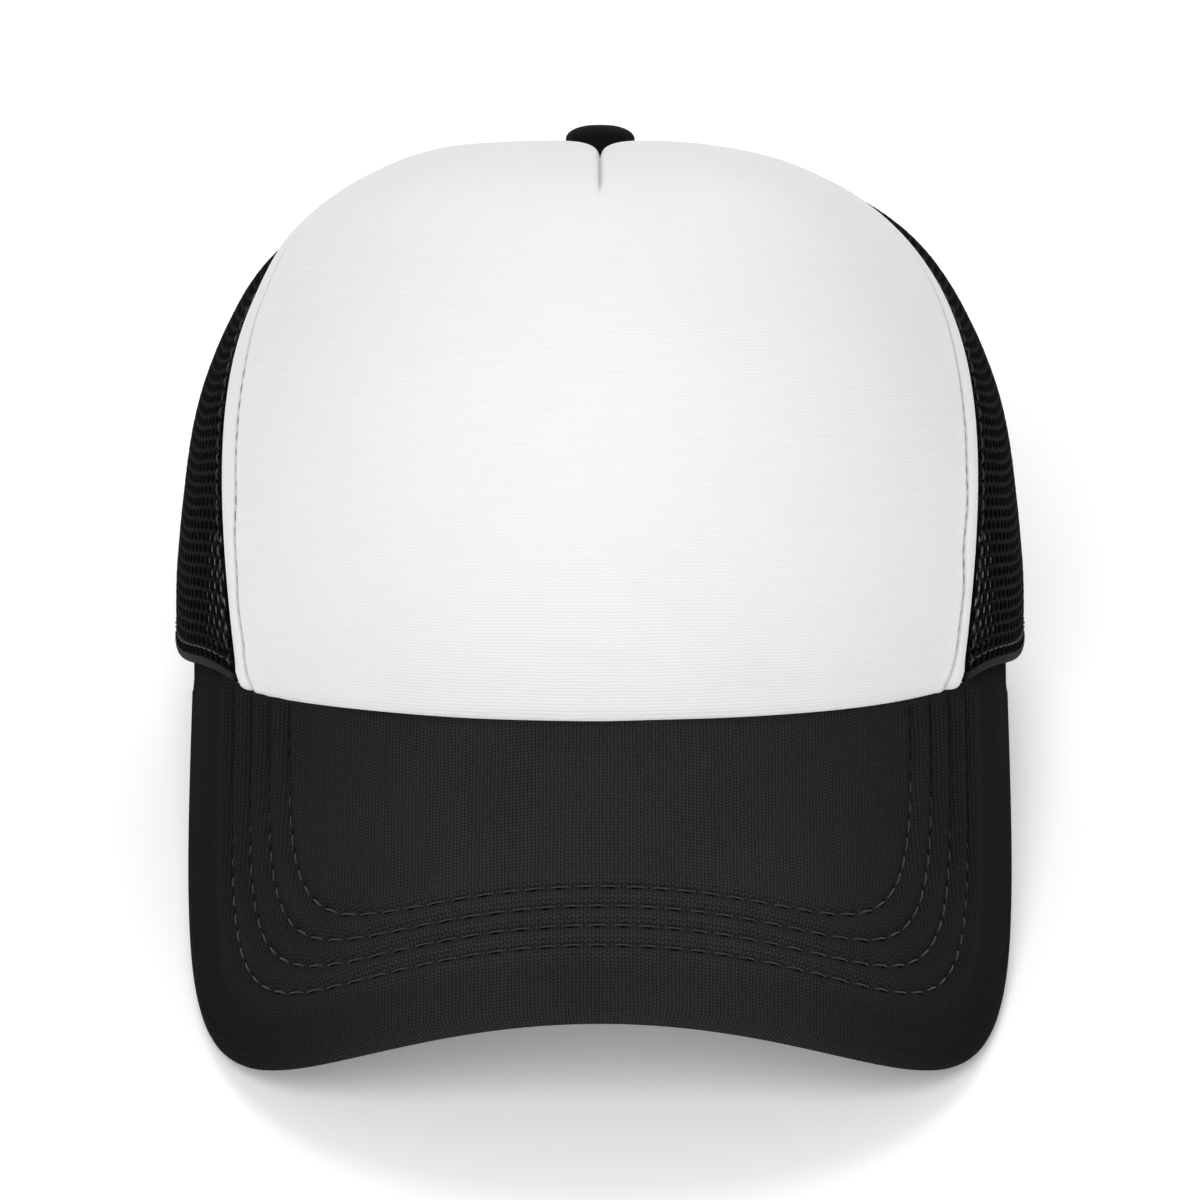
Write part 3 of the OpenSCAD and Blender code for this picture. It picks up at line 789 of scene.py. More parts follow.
def panel_relief(phi, t):
    """How far the facing lies under the plain crown: edges, crease, dart, crest and slack."""
    half = half_panel(t)
    small = taper(half)
    edge = edge_distance(phi, t, half)
    foot = above_rim(phi, t)
    side = np.abs(phi) * reach(phi, t)
    stitch = 1 + 0.25 * np.sin(foot * 2 * np.pi / PANEL_PITCH)
    crease = crease_at(np.sign(phi), foot)
    depth = small * (rolled(edge, EDGE_ROLL) - 0.45 * hump(edge, 3.2, 2.0)
                     + 0.15 * stitch * hump(edge, 0.2, 0.7)
                     + CREASE_DEEP * stitch * crease_hollow(edge, crease)
                     - 0.2 * hump(edge, crease + 1.6, 1.2))
    depth += rolled(foot, FOOT_ROLL) - 0.25 * hump(foot, 2.0, 1.4)
    dart = smooth((t - DART_FROM) / (DART_TO - DART_FROM))
    depth += DART_DEEP * dart * np.exp(-np.sqrt(side ** 2 + 0.02) / DART_WIDE)
    depth += SLIT_DEEP * smooth((t - SLIT_FROM) / (SLIT_TO - SLIT_FROM)) * np.exp(-side / 0.35)
    depth -= CREST_PUFF * smooth((t - 0.45) / 0.3) * smooth((0.99 - t) / 0.06)
    depth -= SHOULDER_PUFF * shoulder(phi, t)
    slack = 0.22 * np.sin(phi / 11 + 5 * t) * np.sin(7 * t + phi / 17 + 1)
    return depth + slack * smooth(edge / 12) * smooth((0.9 - t) / 0.2)


def rounded_share(t):
    """How much of the way out to the side seam the panel reaches, less at its lower corners."""
    foot = np.interp(t, (0, 0.1), (0, 0.1 * float(arc(45.0, 1.0))))
    gap = np.clip(CORNER - foot, 0, CORNER)
    return 1 - (CORNER - np.sqrt(CORNER ** 2 - gap ** 2)) / half_panel(t)


def front_panel_grid():
    """Azimuths and shares of the panel's grid, and each point's place on the cloth."""
    t = np.concatenate(([0, 0.0015, 0.003, 0.0055, 0.009, 0.013], np.linspace(0.018, 0.6, 95),
                        np.linspace(0.605, PANEL_TOP, 85)))
    half = half_panel(t)
    small = taper(half)
    dart = DART_COLUMNS * small[:, None]
    foot = above_rim(seam(1, t), t)[:, None]
    halves = []
    for side in (-1, 1):
        follow = np.interp(EDGE_COLUMNS, (1.2, 4.4), (0, 1))
        near = (EDGE_COLUMNS + follow * (crease_at(side, foot) - CREASE_IN)) * small[:, None]
        inner, outer = half - dart[:, 0], near[:, -1]
        middle = outer[:, None] + (inner - outer)[:, None] * np.linspace(0, 1, 56)[1:-1]
        from_edge = np.concatenate((near, middle, half[:, None] - dart), 1)
        halves.append((1 - from_edge / half[:, None]) * rounded_share(t)[:, None])
    share = np.concatenate((-halves[0], halves[1][:, -2::-1]), 1)
    phi = share * seam(1, t)[:, None]
    rows = np.broadcast_to(t[:, None], phi.shape)
    flat = np.stack((share * half[:, None], arc(0.0, rows)), -1)
    return phi, rows, flat


def arc(phi, t):
    """Length of a meridian from the rim to a share of the way up."""
    fine = np.linspace(0, 1, 300)
    return np.interp(t, fine, running_length(crown(0 * fine + phi, fine)))


def front_panel():
    phi, t, flat = front_panel_grid()
    depth = panel_relief(phi, t)
    outer = shell(phi, t, depth)
    inner = shell(phi, t, np.maximum(depth, 0) + FACING)
    edge = edge_distance(phi, t, half_panel(t))
    foot = above_rim(phi, t)
    for layer in (outer, inner):
        layer[..., 2] -= FOOT_SINK * np.exp(-foot / 0.7)
    # Painted shade along the row of stitches in each side crease, fading toward the top, and in the slit
    # down the panel's middle
    painted_shade = 0.85 * hump(edge, crease_at(np.sign(phi), foot) - 0.1, 0.42) * smooth((0.95 - t) / 0.2)
    slit = smooth((t - SLIT_FROM) / (SLIT_TO - SLIT_FROM)) * np.exp(-np.abs(phi) * reach(phi, t) / 0.3)
    painted_shade = np.maximum(painted_shade, 0.9 * slit)
    obj = sheet_piece("front_panel_cloth", outer, inner, flat, WHITE_CLOTH,
                      ["front_panel_face"], painted_shade)
    return cut_sheet(obj, flat)


def front_panel_foam():
    """The pad behind the facing, with soft edges and shallow dimples where it is glued."""
    rows, cols = 70, 110
    t = np.linspace(0.004, PANEL_TOP, rows)[:, None] * np.ones(cols)
    share = np.linspace(-1, 1, cols)[None] * rounded_share(t[:, 0])[:, None]
    phi = share * (seam(1, t) - 0.4)
    edge = (1 - np.abs(share)) * half_panel(t[:, 0])[:, None]
    near = FACING + GAP + 0.02 - 0.8 * SHOULDER_PUFF * shoulder(phi, t)
    near = np.maximum(near, np.minimum(panel_relief(phi, t), FOAM - 0.8) + FACING + GAP)
    soft = rolled(edge, 1.0) + rolled(above_rim(phi, t) - 0.4, 1.0)
    dimple = 0.12 * np.sin(phi * 0.9) * np.sin(t * 60)
    outer = shell(phi, t, near + 0.35 * soft)
    inner = shell(phi, t, near + FOAM - 0.5 * soft - 0.1 + dimple * smooth(edge / 6))
    flat = np.stack((share * half_panel(t[:, 0])[:, None], arc(0.0, t)), -1)
    obj = sheet_piece("front_panel_padding", outer, inner, flat, WHITE_FOAM,
                      ["front_panel_foam"])
    return obj


def seam_line(k, side, inset, low, high, steps, lift):
    """A line along a seam, a distance in millimetres from it, with outward directions."""
    t = np.linspace(low, high, steps)
    phi = side * (seam(k, t) + inset / reach(seam(k, t), t))
    return shell(phi, t, -lift + 0 * t), crown_normal(phi, t)


def front_topstitching():
    """The thread that holds the panel's folded edge, sunk in its crease."""
    rows = []
    for side in (-1, 1):
        t = np.linspace(0.03, 0.9, 400)
        half = half_panel(t)
        foot = above_rim(seam(1, t), t)
        phi = side * seam(1, t) * (1 - crease_at(side, foot) * taper(half) / half)
        depth = panel_relief(phi, t)
        rows.append((shell(phi, t, depth - 0.1), crown_normal(phi, t)))
    return thread("front_panel_thread", rows, 0.15, PANEL_PITCH, LIGHT_THREAD,
                  ["front_panel_topstitching"])


# ---- net panels ----

CELL = (3.0, 2.35)       # width of a cell, and height of a row of cells
HOLE = (0.49, 0.53)      # size of the hole, as a share of the cell
NET_CREST = 0.1          # depth of the strands' tops
NET_BACK = 1.0           # depth of the strands' undersides
NET_TUCK = 0.8           # the net lies this far in behind the panel's puffed shoulder

# A cell's boundary in quarter widths and sixth heights, round from its top point
CELL_RING = np.array(((0, 4), (1, 3), (2, 2), (2, 0), (2, -2), (1, -3),
                      (0, -4), (-1, -3), (-2, -2), (-2, 0), (-2, 2), (-1, 3)))


class FlatPanel:
    """The flat cut of a net panel between two seams, and its way back onto the crown."""

    def __init__(self, first, second):
        self.first, self.second = first, second
        self.t = np.linspace(0, PANEL_TOP, 240)
        low, high = seam(first, self.t), seam(second, self.t)
        middle = (low + high) / 2
        self.up = running_length(crown(middle, self.t))
        share = np.linspace(0, 1, 21)
        self.half = (high - low) / 2 * np.mean([reach(low + (high - low) * k, self.t) for k in share], 0)

    def on_crown(self, across, up):
        """Azimuth and share for flat places, brought inside the panel's outline."""
        t = np.interp(up, self.up, self.t)
        t = np.where(up < 0, up / self.up[-1], t)
        share = np.clip(across / np.interp(np.maximum(up, 0), self.up, self.half), -1, 1)
        inside = (np.abs(share) < 1) & (up > 0) & (up < self.up[-1])
        t = np.clip(t, 0, PANEL_TOP)
        low, high = seam(self.first, t), seam(self.second, t)
        phi = low + (high - low) * (share + 1) / 2
        if self.second != 3:
            return phi, t, inside
        out = (180 - SIDE_SEAM[0]) * (180 - phi) / (180 - low)
        size = np.maximum(np.hypot(out / ARCH_HALF, t / ARCH_TOP), 1e-6)
        grow = np.maximum(1, 1 / size)
        t = t * grow
        low = seam(self.first, t)
        phi = 180 - out * grow * (180 - low) / (180 - SIDE_SEAM[0])
        return phi, t, inside & (size > 1)


def cell_centres(panel):
    wide, high = CELL
    rows = int(panel.up[-1] / high) + 3
    columns = int(panel.half.max() / wide) + 2
    centres = []
    for j in range(-1, rows):
        shift = 2 * (j % 2)
        centres += [(4 * i + shift, 6 * j) for i in range(-columns - 1, columns + 1)]
    return np.array(centres)


def net_relief(across, up):
    """Slow waves of the cloth and the unevenness of its strands, in millimetres."""
    waves = 0.16 * np.sin(up / 6.1 + 0.7 * np.sin(across / 19)) + 0.1 * np.sin(across / 8.3 + up / 31)
    uneven = 0.05 * np.sin(across * 2.7 + 1.3 * up) * np.sin(up * 1.9 - 0.4 * across)
    return waves + uneven


def net_mesh(panel, side):
    """Points, faces and cloth places of a net: each cell is a rounded ring round its hole."""
    wide, high = CELL
    unit = np.array((wide / 4, high / 6))
    centres = cell_centres(panel)
    ring = centres[:, None] + CELL_RING[None]
    _, _, inside = panel.on_crown(*(np.moveaxis(ring * unit, -1, 0)))
    keep = inside.any(1)
    centres, ring = centres[keep], ring[keep]
    half_hole = np.array((2 * HOLE[0], 4 * HOLE[1]))
    stretch = 1 / np.sqrt(((CELL_RING / half_hole) ** 2).sum(1))
    hole = centres[:, None] + CELL_RING[None] * stretch[None, :, None]
    crest = ring * 0.5 + hole * 0.5
    keys, number = np.unique(ring.reshape(-1, 2), axis=0, return_inverse=True)
    number = number.reshape(-1, 12)
    cells = len(centres)
    edge_count = len(keys)
    ids = edge_count + np.arange(cells * 12).reshape(cells, 12)
    count = edge_count + cells * 12
    flat = np.concatenate((keys, crest.reshape(-1, 2), hole.reshape(-1, 2))) * unit
    layers = ((NET_CREST, NET_CREST + 0.1, 0.55), (NET_BACK, NET_BACK - 0.12, 0.55))
    phi, t, _ = panel.on_crown(flat[:, 0], flat[:, 1])
    wave = net_relief(flat[:, 0], flat[:, 1]) - NET_TUCK * shoulder(side * phi + 25 * side, t)
    sizes = (edge_count, cells * 12, cells * 12)
    depth = [np.repeat(layer, sizes) - wave for layer in layers]
    points = np.concatenate((shell(phi, t, depth[0]), shell(phi, t, depth[1])[:count]))
    points = points * (side, 1, 1)
    rim_ids = ids + cells * 12
    under = count + cells * 12

    def ring_quads(a, b):
        return np.stack((a, np.roll(a, -1, 1), np.roll(b, -1, 1), b), -1).reshape(-1, 4)

    top = np.concatenate((ring_quads(number, ids), ring_quads(ids, rim_ids)))
    back = np.concatenate((ring_quads(number + under, ids + under), ring_quads(ids + under, rim_ids)))
    faces = np.concatenate((top, back[:, ::-1], net_outline(number, under)))
    cloth = np.concatenate((flat, flat[:count]))
    return points, faces, cloth, cells * wide * high


def net_outline(number, under):
    """Walls along the edges that only one cell has, so that the net is closed there."""
    sides = np.stack((number, np.roll(number, -1, 1)), -1).reshape(-1, 2)
    ordered = np.sort(sides, 1)
    _, first, uses = np.unique(ordered, axis=0, return_index=True, return_counts=True)
    alone = sides[first[uses == 1]]
    return np.stack((alone[:, 1], alone[:, 0], alone[:, 0] + under, alone[:, 1] + under), -1)


def net_panels():
    for first, second, area in ((1, 2, "side"), (2, 3, "back")):
        for side, word in SIDES:
            points, faces, cloth, cut = net_mesh(FlatPanel(first, second), side)
            obj = piece(f"net_{area}_{word}", points, faces, NET_YARN,
                        [f"mesh_panel_{area}_{word}"], cloth=cloth)
            cut_sheet(obj, cloth, cut)


# ---- seams, tapes and edges of the crown ----

SEAM_PITCH = 3.1         # from stitch to stitch along the crown's seams
TAPE_TOP = 0.93          # the tapes and the rows beside the seams end this far up


def ridge(name, k, side, low):
    """The folded net that stands up along a seam, pinched by its stitches."""
    t = np.linspace(low, PANEL_TOP, 260)
    phi = side * seam(k, t)
    length = arc(abs(float(seam(k, 0.0))), t)
    turn = np.linspace(0, 2 * np.pi, 13)[:-1]
    pinch = 1 + 0.12 * np.cos(length * 2 * np.pi / SEAM_PITCH)
    wide = 0.95 * pinch[:, None] * np.cos(turn)
    high = 0.42 * pinch[:, None] * np.sin(turn)
    rings = shell(phi[:, None] + wide / reach(phi, t)[:, None], t[:, None] + 0 * wide, 0.05 - high)
    points, faces = sweep_mesh(rings)
    cloth = np.stack((wide, length[:, None] + 0 * wide), -1).reshape(-1, 2)
    return piece(name, points, faces, NET_YARN, cloth=cloth)


def crown_tape(name, k, side, low, depths, stands_for):
    """Tape over a seam on the inside, following the step from the foam down to the net."""
    t = np.linspace(low, TAPE_TOP, 120)[:, None]
    across = np.linspace(-1, 1, 13)[None] * TAPE_WIDTH / 2
    phi = seam(k, t) + across / reach(seam(k, t), t)
    depth = np.interp(across, (-4, -0.5, 1.2, 4), depths) + 0 * t
    ends = 0.18 * hump(np.abs(across), 4, 0.5)
    length = arc(abs(float(seam(k, 0.0))), t)
    ripple = 0.06 * np.sin(length * 2 * np.pi / 3.3) * hump(np.abs(across), 2.8, 0.7)
    outer = shell(side * phi, t + 0 * across, depth + ends)
    inner = shell(side * phi, t + 0 * across, depth + TAPE - 0.1 - ends + ripple)
    flat = np.stack((across + 0 * t, length + 0 * across), -1)
    return sheet_piece(name, outer, inner, flat, BLACK_TAPE, [stands_for])


def crown_seams():
    front = (FACING + FOAM + 3 * GAP, FACING + FOAM + 3 * GAP, 2.6, NET + GAP)
    plain = (NET + GAP,) * 4
    rows = []
    for side, word in SIDES:
        crown_tape(f"tape_front_{word}", 1, side, 0.0, front, f"seam_tape_front_{word}")
        crown_tape(f"tape_side_{word}", 2, side, 0.0, plain, f"seam_tape_side_{word}")
        ridge(f"seam_fold_side_{word}", 2, side, 0.0)
        rows += [seam_line(2, side, inset, 0.01, TAPE_TOP, 160, 0.05) for inset in (-2.7, 2.7)]
        rows.append(seam_line(1, side, 1.9, 0.01, TAPE_TOP, 160, 0.02))
    crown_tape("tape_nape", 3, 1, ARCH_TOP * 1.02, plain, "seam_tape_back")
    ridge("seam_fold_nape", 3, 1, ARCH_TOP * 1.03)
    rows += [seam_line(3, 1, inset, ARCH_TOP * 1.08, TAPE_TOP, 120, 0.05) for inset in (-2.7, 2.7)]
    thread("crown_seam_thread", rows, 0.16, SEAM_PITCH, DARK_THREAD)


# The folded tape round an edge: millimetres into the net, and depth under the crown's face
FOLD_PROFILE = ((5.4, -0.12), (5.2, -0.5), (3.2, -0.72), (0.8, -0.8), (-0.9, -0.62), (-1.7, 0.1),
                (-1.75, 1.1), (-1.0, 1.95), (0.8, 2.15), (3.2, 2.05), (5.2, 1.85), (5.4, 1.4),
                (3.2, 1.22), (0.4, 1.2), (-0.5, 0.6), (0.4, 0.02), (3.2, 0.0))


def opening_binding():
    """Tape folded over the edge of the rear opening, gathered a little on the curve."""
    psi = np.linspace(0, 180, 150)[:, None]
    profile = np.array(FOLD_PROFILE)
    size_mm = norm(arch(psi, 1.01, 0 * psi) - arch(psi, 0.99, 0 * psi))[..., 0] / 0.02
    walk = running_length(arch(psi[:, 0], 1.0, 0 * psi[:, 0]))
    gather = 0.09 * np.sin(walk * 2 * np.pi / 3.4)[:, None] * smooth(profile[None, :, 0] / 4)
    middle = profile[:, 1].mean()
    out = np.where(profile[:, 1] > middle, 1, -1)
    rings = arch(psi, 1 + profile[None, :, 0] / size_mm, profile[None, :, 1] + out * gather)
    points, faces = sweep_mesh(rings)
    around = running_length(profile)
    obj = piece("opening_edge_tape", points, faces, BLACK_TAPE,
                ["opening_binding"], cloth=tube_cloth(around, walk))
    modified(obj, "SUBSURF", levels=1, render_levels=1)
    sewn = np.linspace(4, 176, 260)
    size = 1 + 3.9 / np.interp(sewn, psi[:, 0], size_mm[:, 0])
    rows = []
    for depth, sign in ((-0.66, 1), (2.0, -1)):
        line = arch(sewn, size, depth + 0 * sewn)
        lower = arch(sewn, size, depth + 0.5 + 0 * sewn)
        rows.append((line, sign * (line - lower) / norm(line - lower)))
    thread("opening_edge_thread", rows, 0.16, 3.0, DARK_THREAD)
    return obj


def rim_hem():
    """The beaded lower edge of the net from the front seam to the rear opening, and its stitches."""
    profile = np.array(((1.5, 0.0), (1.4, -0.16), (0.8, -0.28), (0.1, -0.26), (-0.4, 0.0), (-0.65, 0.5),
                        (-0.6, 1.1), (-0.2, 1.55), (0.6, 1.75), (4.2, 1.7), (4.4, 1.3), (0.6, 1.2),
                        (0.2, 0.6), (0.4, 0.1)))
    for side, word in SIDES:
        phi = np.linspace(FRONT_SEAM[0] + 0.3, 180 - ARCH_HALF - 0.6, 170)[:, None]
        up = above_rim(phi, 0.01 + 0 * phi) / 0.01
        t = profile[None, :, 0] / up
        walk = phi[:, 0] * RIM_DEGREE
        ripple = 0.05 * np.sin(walk * 2 * np.pi / 3.2)[:, None] * smooth(profile[None, :, 0] / 3)
        rings = shell(side * phi + 0 * t, t, profile[None, :, 1] - ripple)
        points, faces = sweep_mesh(rings)
        obj = piece(f"rim_hem_{word}", points, faces, BLACK_TAPE,
                    cloth=tube_cloth(running_length(profile), walk))
        modified(obj, "SUBSURF", levels=1, render_levels=1)
        sewn = np.linspace(FRONT_SEAM[0] + 1.5, 180 - ARCH_HALF - 2, 300)
        t = share_at(sewn, 3.3)
        line = shell(side * sewn, t, 0.02 + 0 * sewn)
        thread(f"rim_hem_thread_{word}", [(line, crown_normal(side * sewn, t))],
               0.16, 3.0, DARK_THREAD)


# ---- sweatband ----

BAND_LOW_ROW = 5         # heights of its two rows of stitches
BAND_TOP_ROW = BAND_HEIGHT - 2
PAD_END = 72             # degrees, each way from the forehead


def band_depth(phi):
    near = FACING + FOAM + 3 * GAP + TAPE
    far = NET + 2 * GAP + TAPE
    return near + (far - near) * smooth((np.abs(phi) - 62) / 14)


def band_grid(limit, low, high, rows, cols):
    phi = np.linspace(-limit, limit, cols)[None] * np.ones((rows, 1))
    height = (low + (high - low) * np.linspace(0, 1, rows))[:, None] * np.ones(cols)
    return phi, height, share_at(phi, height)


def sweatband():
    """Padded twill band, turned over at its lower edge and gathered along its stitches."""
    phi, height, t = band_grid(BAND_END, 0.3, BAND_HEIGHT, 46, 300)
    along = phi * RIM_DEGREE
    forehead = smooth((74 - np.abs(phi)) / 10)
    ends = rolled((BAND_END - np.abs(phi)) * 1.6, 0.8)
    edge = rolled(height - 0.3, 1.3) + rolled(BAND_HEIGHT - height, 0.6) + ends
    between = np.clip((height - BAND_LOW_ROW) / (BAND_TOP_ROW - BAND_LOW_ROW), 0, 1)
    puff = (0.35 + 0.75 * forehead) * np.sin(np.pi * between) ** 0.6
    groove = 0.35 * hump(height, BAND_LOW_ROW, 0.8) + 0.25 * hump(height, BAND_TOP_ROW, 0.6)
    gather = 0.11 * np.sin(along * 2 * np.pi / 5.2 + 1.5 * np.sin(along / 9)) * hump(height, 6, 5)
    face = band_depth(phi) + PAD + GAP
    inner = shell(phi, t, face + 0.8 + puff - groove + gather - 0.9 * edge)
    outer = shell(phi, t, face + 0.25 * edge)
    flat = np.stack((along, height), -1)
    obj = sheet_piece("sweatband_cloth", outer, inner, flat, BAND_TWILL, ["sweatband"])
    rows = []
    for high, deep in ((BAND_LOW_ROW, 0.45), (BAND_TOP_ROW, 0.55)):
        azimuth = np.linspace(-BAND_END + 2, BAND_END - 2, 500)
        share = share_at(azimuth, high)
        line = shell(azimuth, share, band_depth(azimuth) + PAD + GAP + 0.8 + deep - 0.35)
        rows.append((line, -crown_normal(azimuth, share)))
    thread("sweatband_thread", rows, 0.17, 3.4, DARK_THREAD, ["sweatband_stitching"])
    return obj


def sweatband_pad():
    """Foam strip between the forehead and the front panel."""
    phi, height, t = band_grid(PAD_END, 3, BAND_HEIGHT - 3, 16, 120)
    ends = (PAD_END - np.abs(phi)) * RIM_DEGREE
    edge = np.minimum(np.minimum(height - 3, BAND_HEIGHT - 3 - height), ends)
    soft = rolled(edge, 0.5)
    near = band_depth(phi)
    flat = np.stack((phi * RIM_DEGREE, height), -1)
    obj = sheet_piece("sweatband_padding", shell(phi, t, near + 0.5 * soft),
                      shell(phi, t, near + PAD - 0.5 * soft), flat, WHITE_FOAM,
                      ["sweatband_foam"])
    return obj


LABEL_FROM, LABEL_TO = 112.0, 130.0
LABEL_LOW, LABEL_HIGH = 4.0, 24.0


def care_label():
    """Blank satin label, sewn in at its lower edge, with its free end curling off the band."""
    rows, cols = 26, 30
    phi = np.linspace(LABEL_FROM, LABEL_TO, cols)[None] * np.ones((rows, 1))
    height = np.linspace(LABEL_LOW, LABEL_HIGH, rows)[:, None] * np.ones(cols)
    t = share_at(phi, height)
    free = (height - LABEL_LOW) / (LABEL_HIGH - LABEL_LOW)
    curl = 1.5 * free ** 2 + 0.4 * free * np.sin((phi - LABEL_FROM) * 0.5)
    depth = band_depth(phi) + PAD + GAP + 1.55 + curl
    flat = np.stack(((phi - LABEL_FROM) * RIM_DEGREE, height), -1)
    obj = sheet_piece("blank_label", shell(phi, t, depth), shell(phi, t, depth + 0.25), flat,
                      RIBBON, ["care_label"])
    wide = (LABEL_TO - LABEL_FROM) * float(reach(121.0, 0.08)) * MM
    return obj


# ---- visor covers ----

VISOR_SEAM_HALF = 82.0   # half the width of the visor's seam on the crown
WRAP_START = 2.5         # the top cover starts to turn down this far from the edge
UNDER_INSET = 1.7        # the under cover stops this far from it
ROWS = [FIRST_ROW + ROW_PITCH * k for k in range(STITCH_ROWS)]
VISOR_PITCH = 5.0        # length of a stitch and its gap
VISOR_FILL = 0.8         # share of it that shows as thread
ROW_END = 0.045          # the rows stop this share of the way out from the seam
GROOVE = 0.95            # how deep the rows of thread pull the cover in

# The top cover's turn round the board: distance in from the edge, and depth
TURN_OUTSIDE = ((2.5, 0.0), (1.9, 0.06), (1.3, 0.22), (0.8, 0.5), (0.42, 0.9), (0.15, 1.4), (0.04, 1.95),
                (0.08, 2.5), (0.3, 3.0), (0.7, 3.4), (1.2, 3.58))
TURN_INSIDE = ((2.7, 1.2), (2.5, 1.2), (2.3, 1.22), (2.1, 1.3), (1.95, 1.45), (1.85, 1.7), (1.8, 2.0),
               (1.82, 2.4), (1.9, 2.8), (2.05, 3.1), (2.2, 3.25))


def visor_seam(angle):
    """The seam on the crown, laid flat."""
    x = VISOR_SEAM_HALF * sin(angle) / sin(VISOR_END)
    y = -FRONT_DEPTH * (1 - (np.abs(x) / HALF_WIDTH) ** FRONT_POWER) ** (1 / FRONT_POWER)
    u = VISOR_BEND * np.arcsin(x / VISOR_BEND)
    return u, (bend_drop(x) * math.sin(VISOR_SLOPE) - FRONT_DEPTH - y) / math.cos(VISOR_SLOPE)


def visor_flat(angle, share, inset):
    """Flat place at a share of the way from the seam to a line inside the edge."""
    seam_u, seam_v = visor_seam(angle)
    edge_u, edge_v = visor_edge(angle, inset)
    return seam_u + (edge_u - seam_u) * share, seam_v + (edge_v - seam_v) * share


def visor_layer(angle, share, inset, depth):
    """A place of the visor, pulled to the crown's lower edge near the seam.

    The board and what lies under it stay out of the rise at the panel's corners.
    """
    u, v = visor_flat(angle, share, inset)
    q = visor_point(*visor_seam(angle), 0)
    azimuth = np.degrees(np.arctan2(q[..., 0], -q[..., 1]))
    pull = rim_height(q[..., 0], q[..., 1], azimuth) - q[..., 2]
    below = np.clip((np.asarray(depth, float) - 1) / (BOARD_TOP - 1), 0, 1)
    under = corner_rise(q[..., 0], azimuth) * below
    point = visor_point(u, v, depth)
    point[..., 2] += (pull - under) * (1 - share) ** 2
    return point


def inside_row(u, v, inset):
    """Whether a flat place lies inside a line of thread, counted in from the edge."""
    wide = VISOR_HALF_WIDTH - inset
    long = VISOR_LENGTH + VISOR_CENTRE_BACK - ROW_FRONT_EXTRA - ROW_FRONT_SHARE * inset
    return (np.abs(u) / wide) ** ROW_POWER + ((v + VISOR_CENTRE_BACK) / long) ** ROW_POWER < 1


def row_share(angle, inset):
    """Share of the way from the seam to the edge at which the cover reaches a line of thread."""
    return bisect(lambda share: inside_row(*visor_flat(angle, share, WRAP_START), inset),
                  np.shape(angle), 1.0, 22)


def visor_columns(count):
    """Angles at even steps along the visor's edge."""
    fine = np.linspace(-VISOR_END, VISOR_END, 2000)
    length = running_length(visor_point(*visor_edge(fine, 0), 0))
    return np.interp(np.linspace(0, length[-1], count), length, fine)


def thread_line(inset):
    """Angles, shares and running length of a row of thread round the visor."""
    angle = visor_columns(1500)
    share = row_share(angle, inset)
    angle, share = angle[share > ROW_END], share[share > ROW_END]
    return angle, share, running_length(visor_layer(angle, share, WRAP_START, 0 * share))


def row_waves(angle, insets_at):
    """For each row: the distance from it, and a wave that peaks where the needle went in."""
    for inset in ROWS:
        row_angle, _, length = thread_line(inset)
        count = round(length[-1] / VISOR_PITCH)
        stitch = np.interp(angle, row_angle, length * count / length[-1])
        yield insets_at - inset, 0.5 + 0.5 * np.cos(2 * np.pi * (stitch + (1 - VISOR_FILL) / 2))


def quilting(angle, share, insets_at):
    """How far the cover lies under the plain visor: pulled in at each row, puffed between them."""
    depth = -0.16 * hump(insets_at, (ROWS[0] + ROWS[-1]) / 2, 14)
    for away, needle in row_waves(angle, insets_at):
        depth += GROOVE * (0.55 * hump(away, 0, 0.8) + 0.2 * needle * hump(away, 0, 1.3))
        depth += 0.3 * GROOVE * needle ** 3 * hump(away, 0, 0.4)
        depth -= 0.38 * hump(np.abs(away), 2.3, 1.1) * (1 + 0.3 * needle)
    return depth * smooth(share / 0.06)


def visor_painted_shade(angle, share, insets_at):
    """Painted shade on the cover: in the needle holes, along the rows, on the lip and down the visor's
    sides.
    """
    at_side = smooth((np.abs(angle) - 28) / 30)
    u, _ = visor_flat(angle, share, WRAP_START)
    shade = 0.5 * smooth((np.abs(u) - 15) / 80) + 0.18 * smooth((ROWS[0] - insets_at) / 8)
    for away, needle in row_waves(angle, insets_at):
        row = np.maximum((0.2 + 0.6 * at_side) * hump(away, 0, 0.45),
                         1.3 * needle ** 6 * hump(away, 0.1, 0.5))
        shade = np.maximum(shade, row * smooth(share / 0.03))
    return shade


def visor_grid(count, outermost):
    """Angles, shares, insets: a grid from the crown's seam out to the start of the edge."""
    angle = visor_columns(count)
    near_row = np.array((-2.75, -2.2, -1.7, -1.25, -0.85, -0.5, -0.22,
                         0, 0.22, 0.5, 0.85, 1.25, 1.7, 2.2))
    fine = np.concatenate([row + near_row for row in ROWS])
    outer = np.linspace(outermost, fine[0], 11)[:-1]
    insets = np.concatenate((outer, fine))
    shares = np.stack([row_share(angle, inset) for inset in insets[1:]])
    shares = np.concatenate((np.ones((1, count)), shares))
    inner = shares[-1][None] * np.linspace(1, 0, 16)[1:, None]
    shares = np.concatenate((shares, inner))
    seam_inset = inset_at(angle, 0 * angle)
    deepest = np.maximum(insets[-1], seam_inset)
    rest = insets[-1] + (deepest - insets[-1])[None] * np.linspace(0, 1, 16)[1:, None]
    insets = np.concatenate((insets[:, None] * np.ones(count), rest))
    return angle[None] * np.ones((len(shares), 1)), shares, np.minimum(insets, seam_inset[None])


def inset_at(angle, share):
    """Which line of thread, counted in from the edge, would pass through a place."""
    u, v = visor_flat(angle, share, WRAP_START)
    return bisect(lambda inset: inside_row(u, v, inset), np.shape(angle), 90.0, 26)


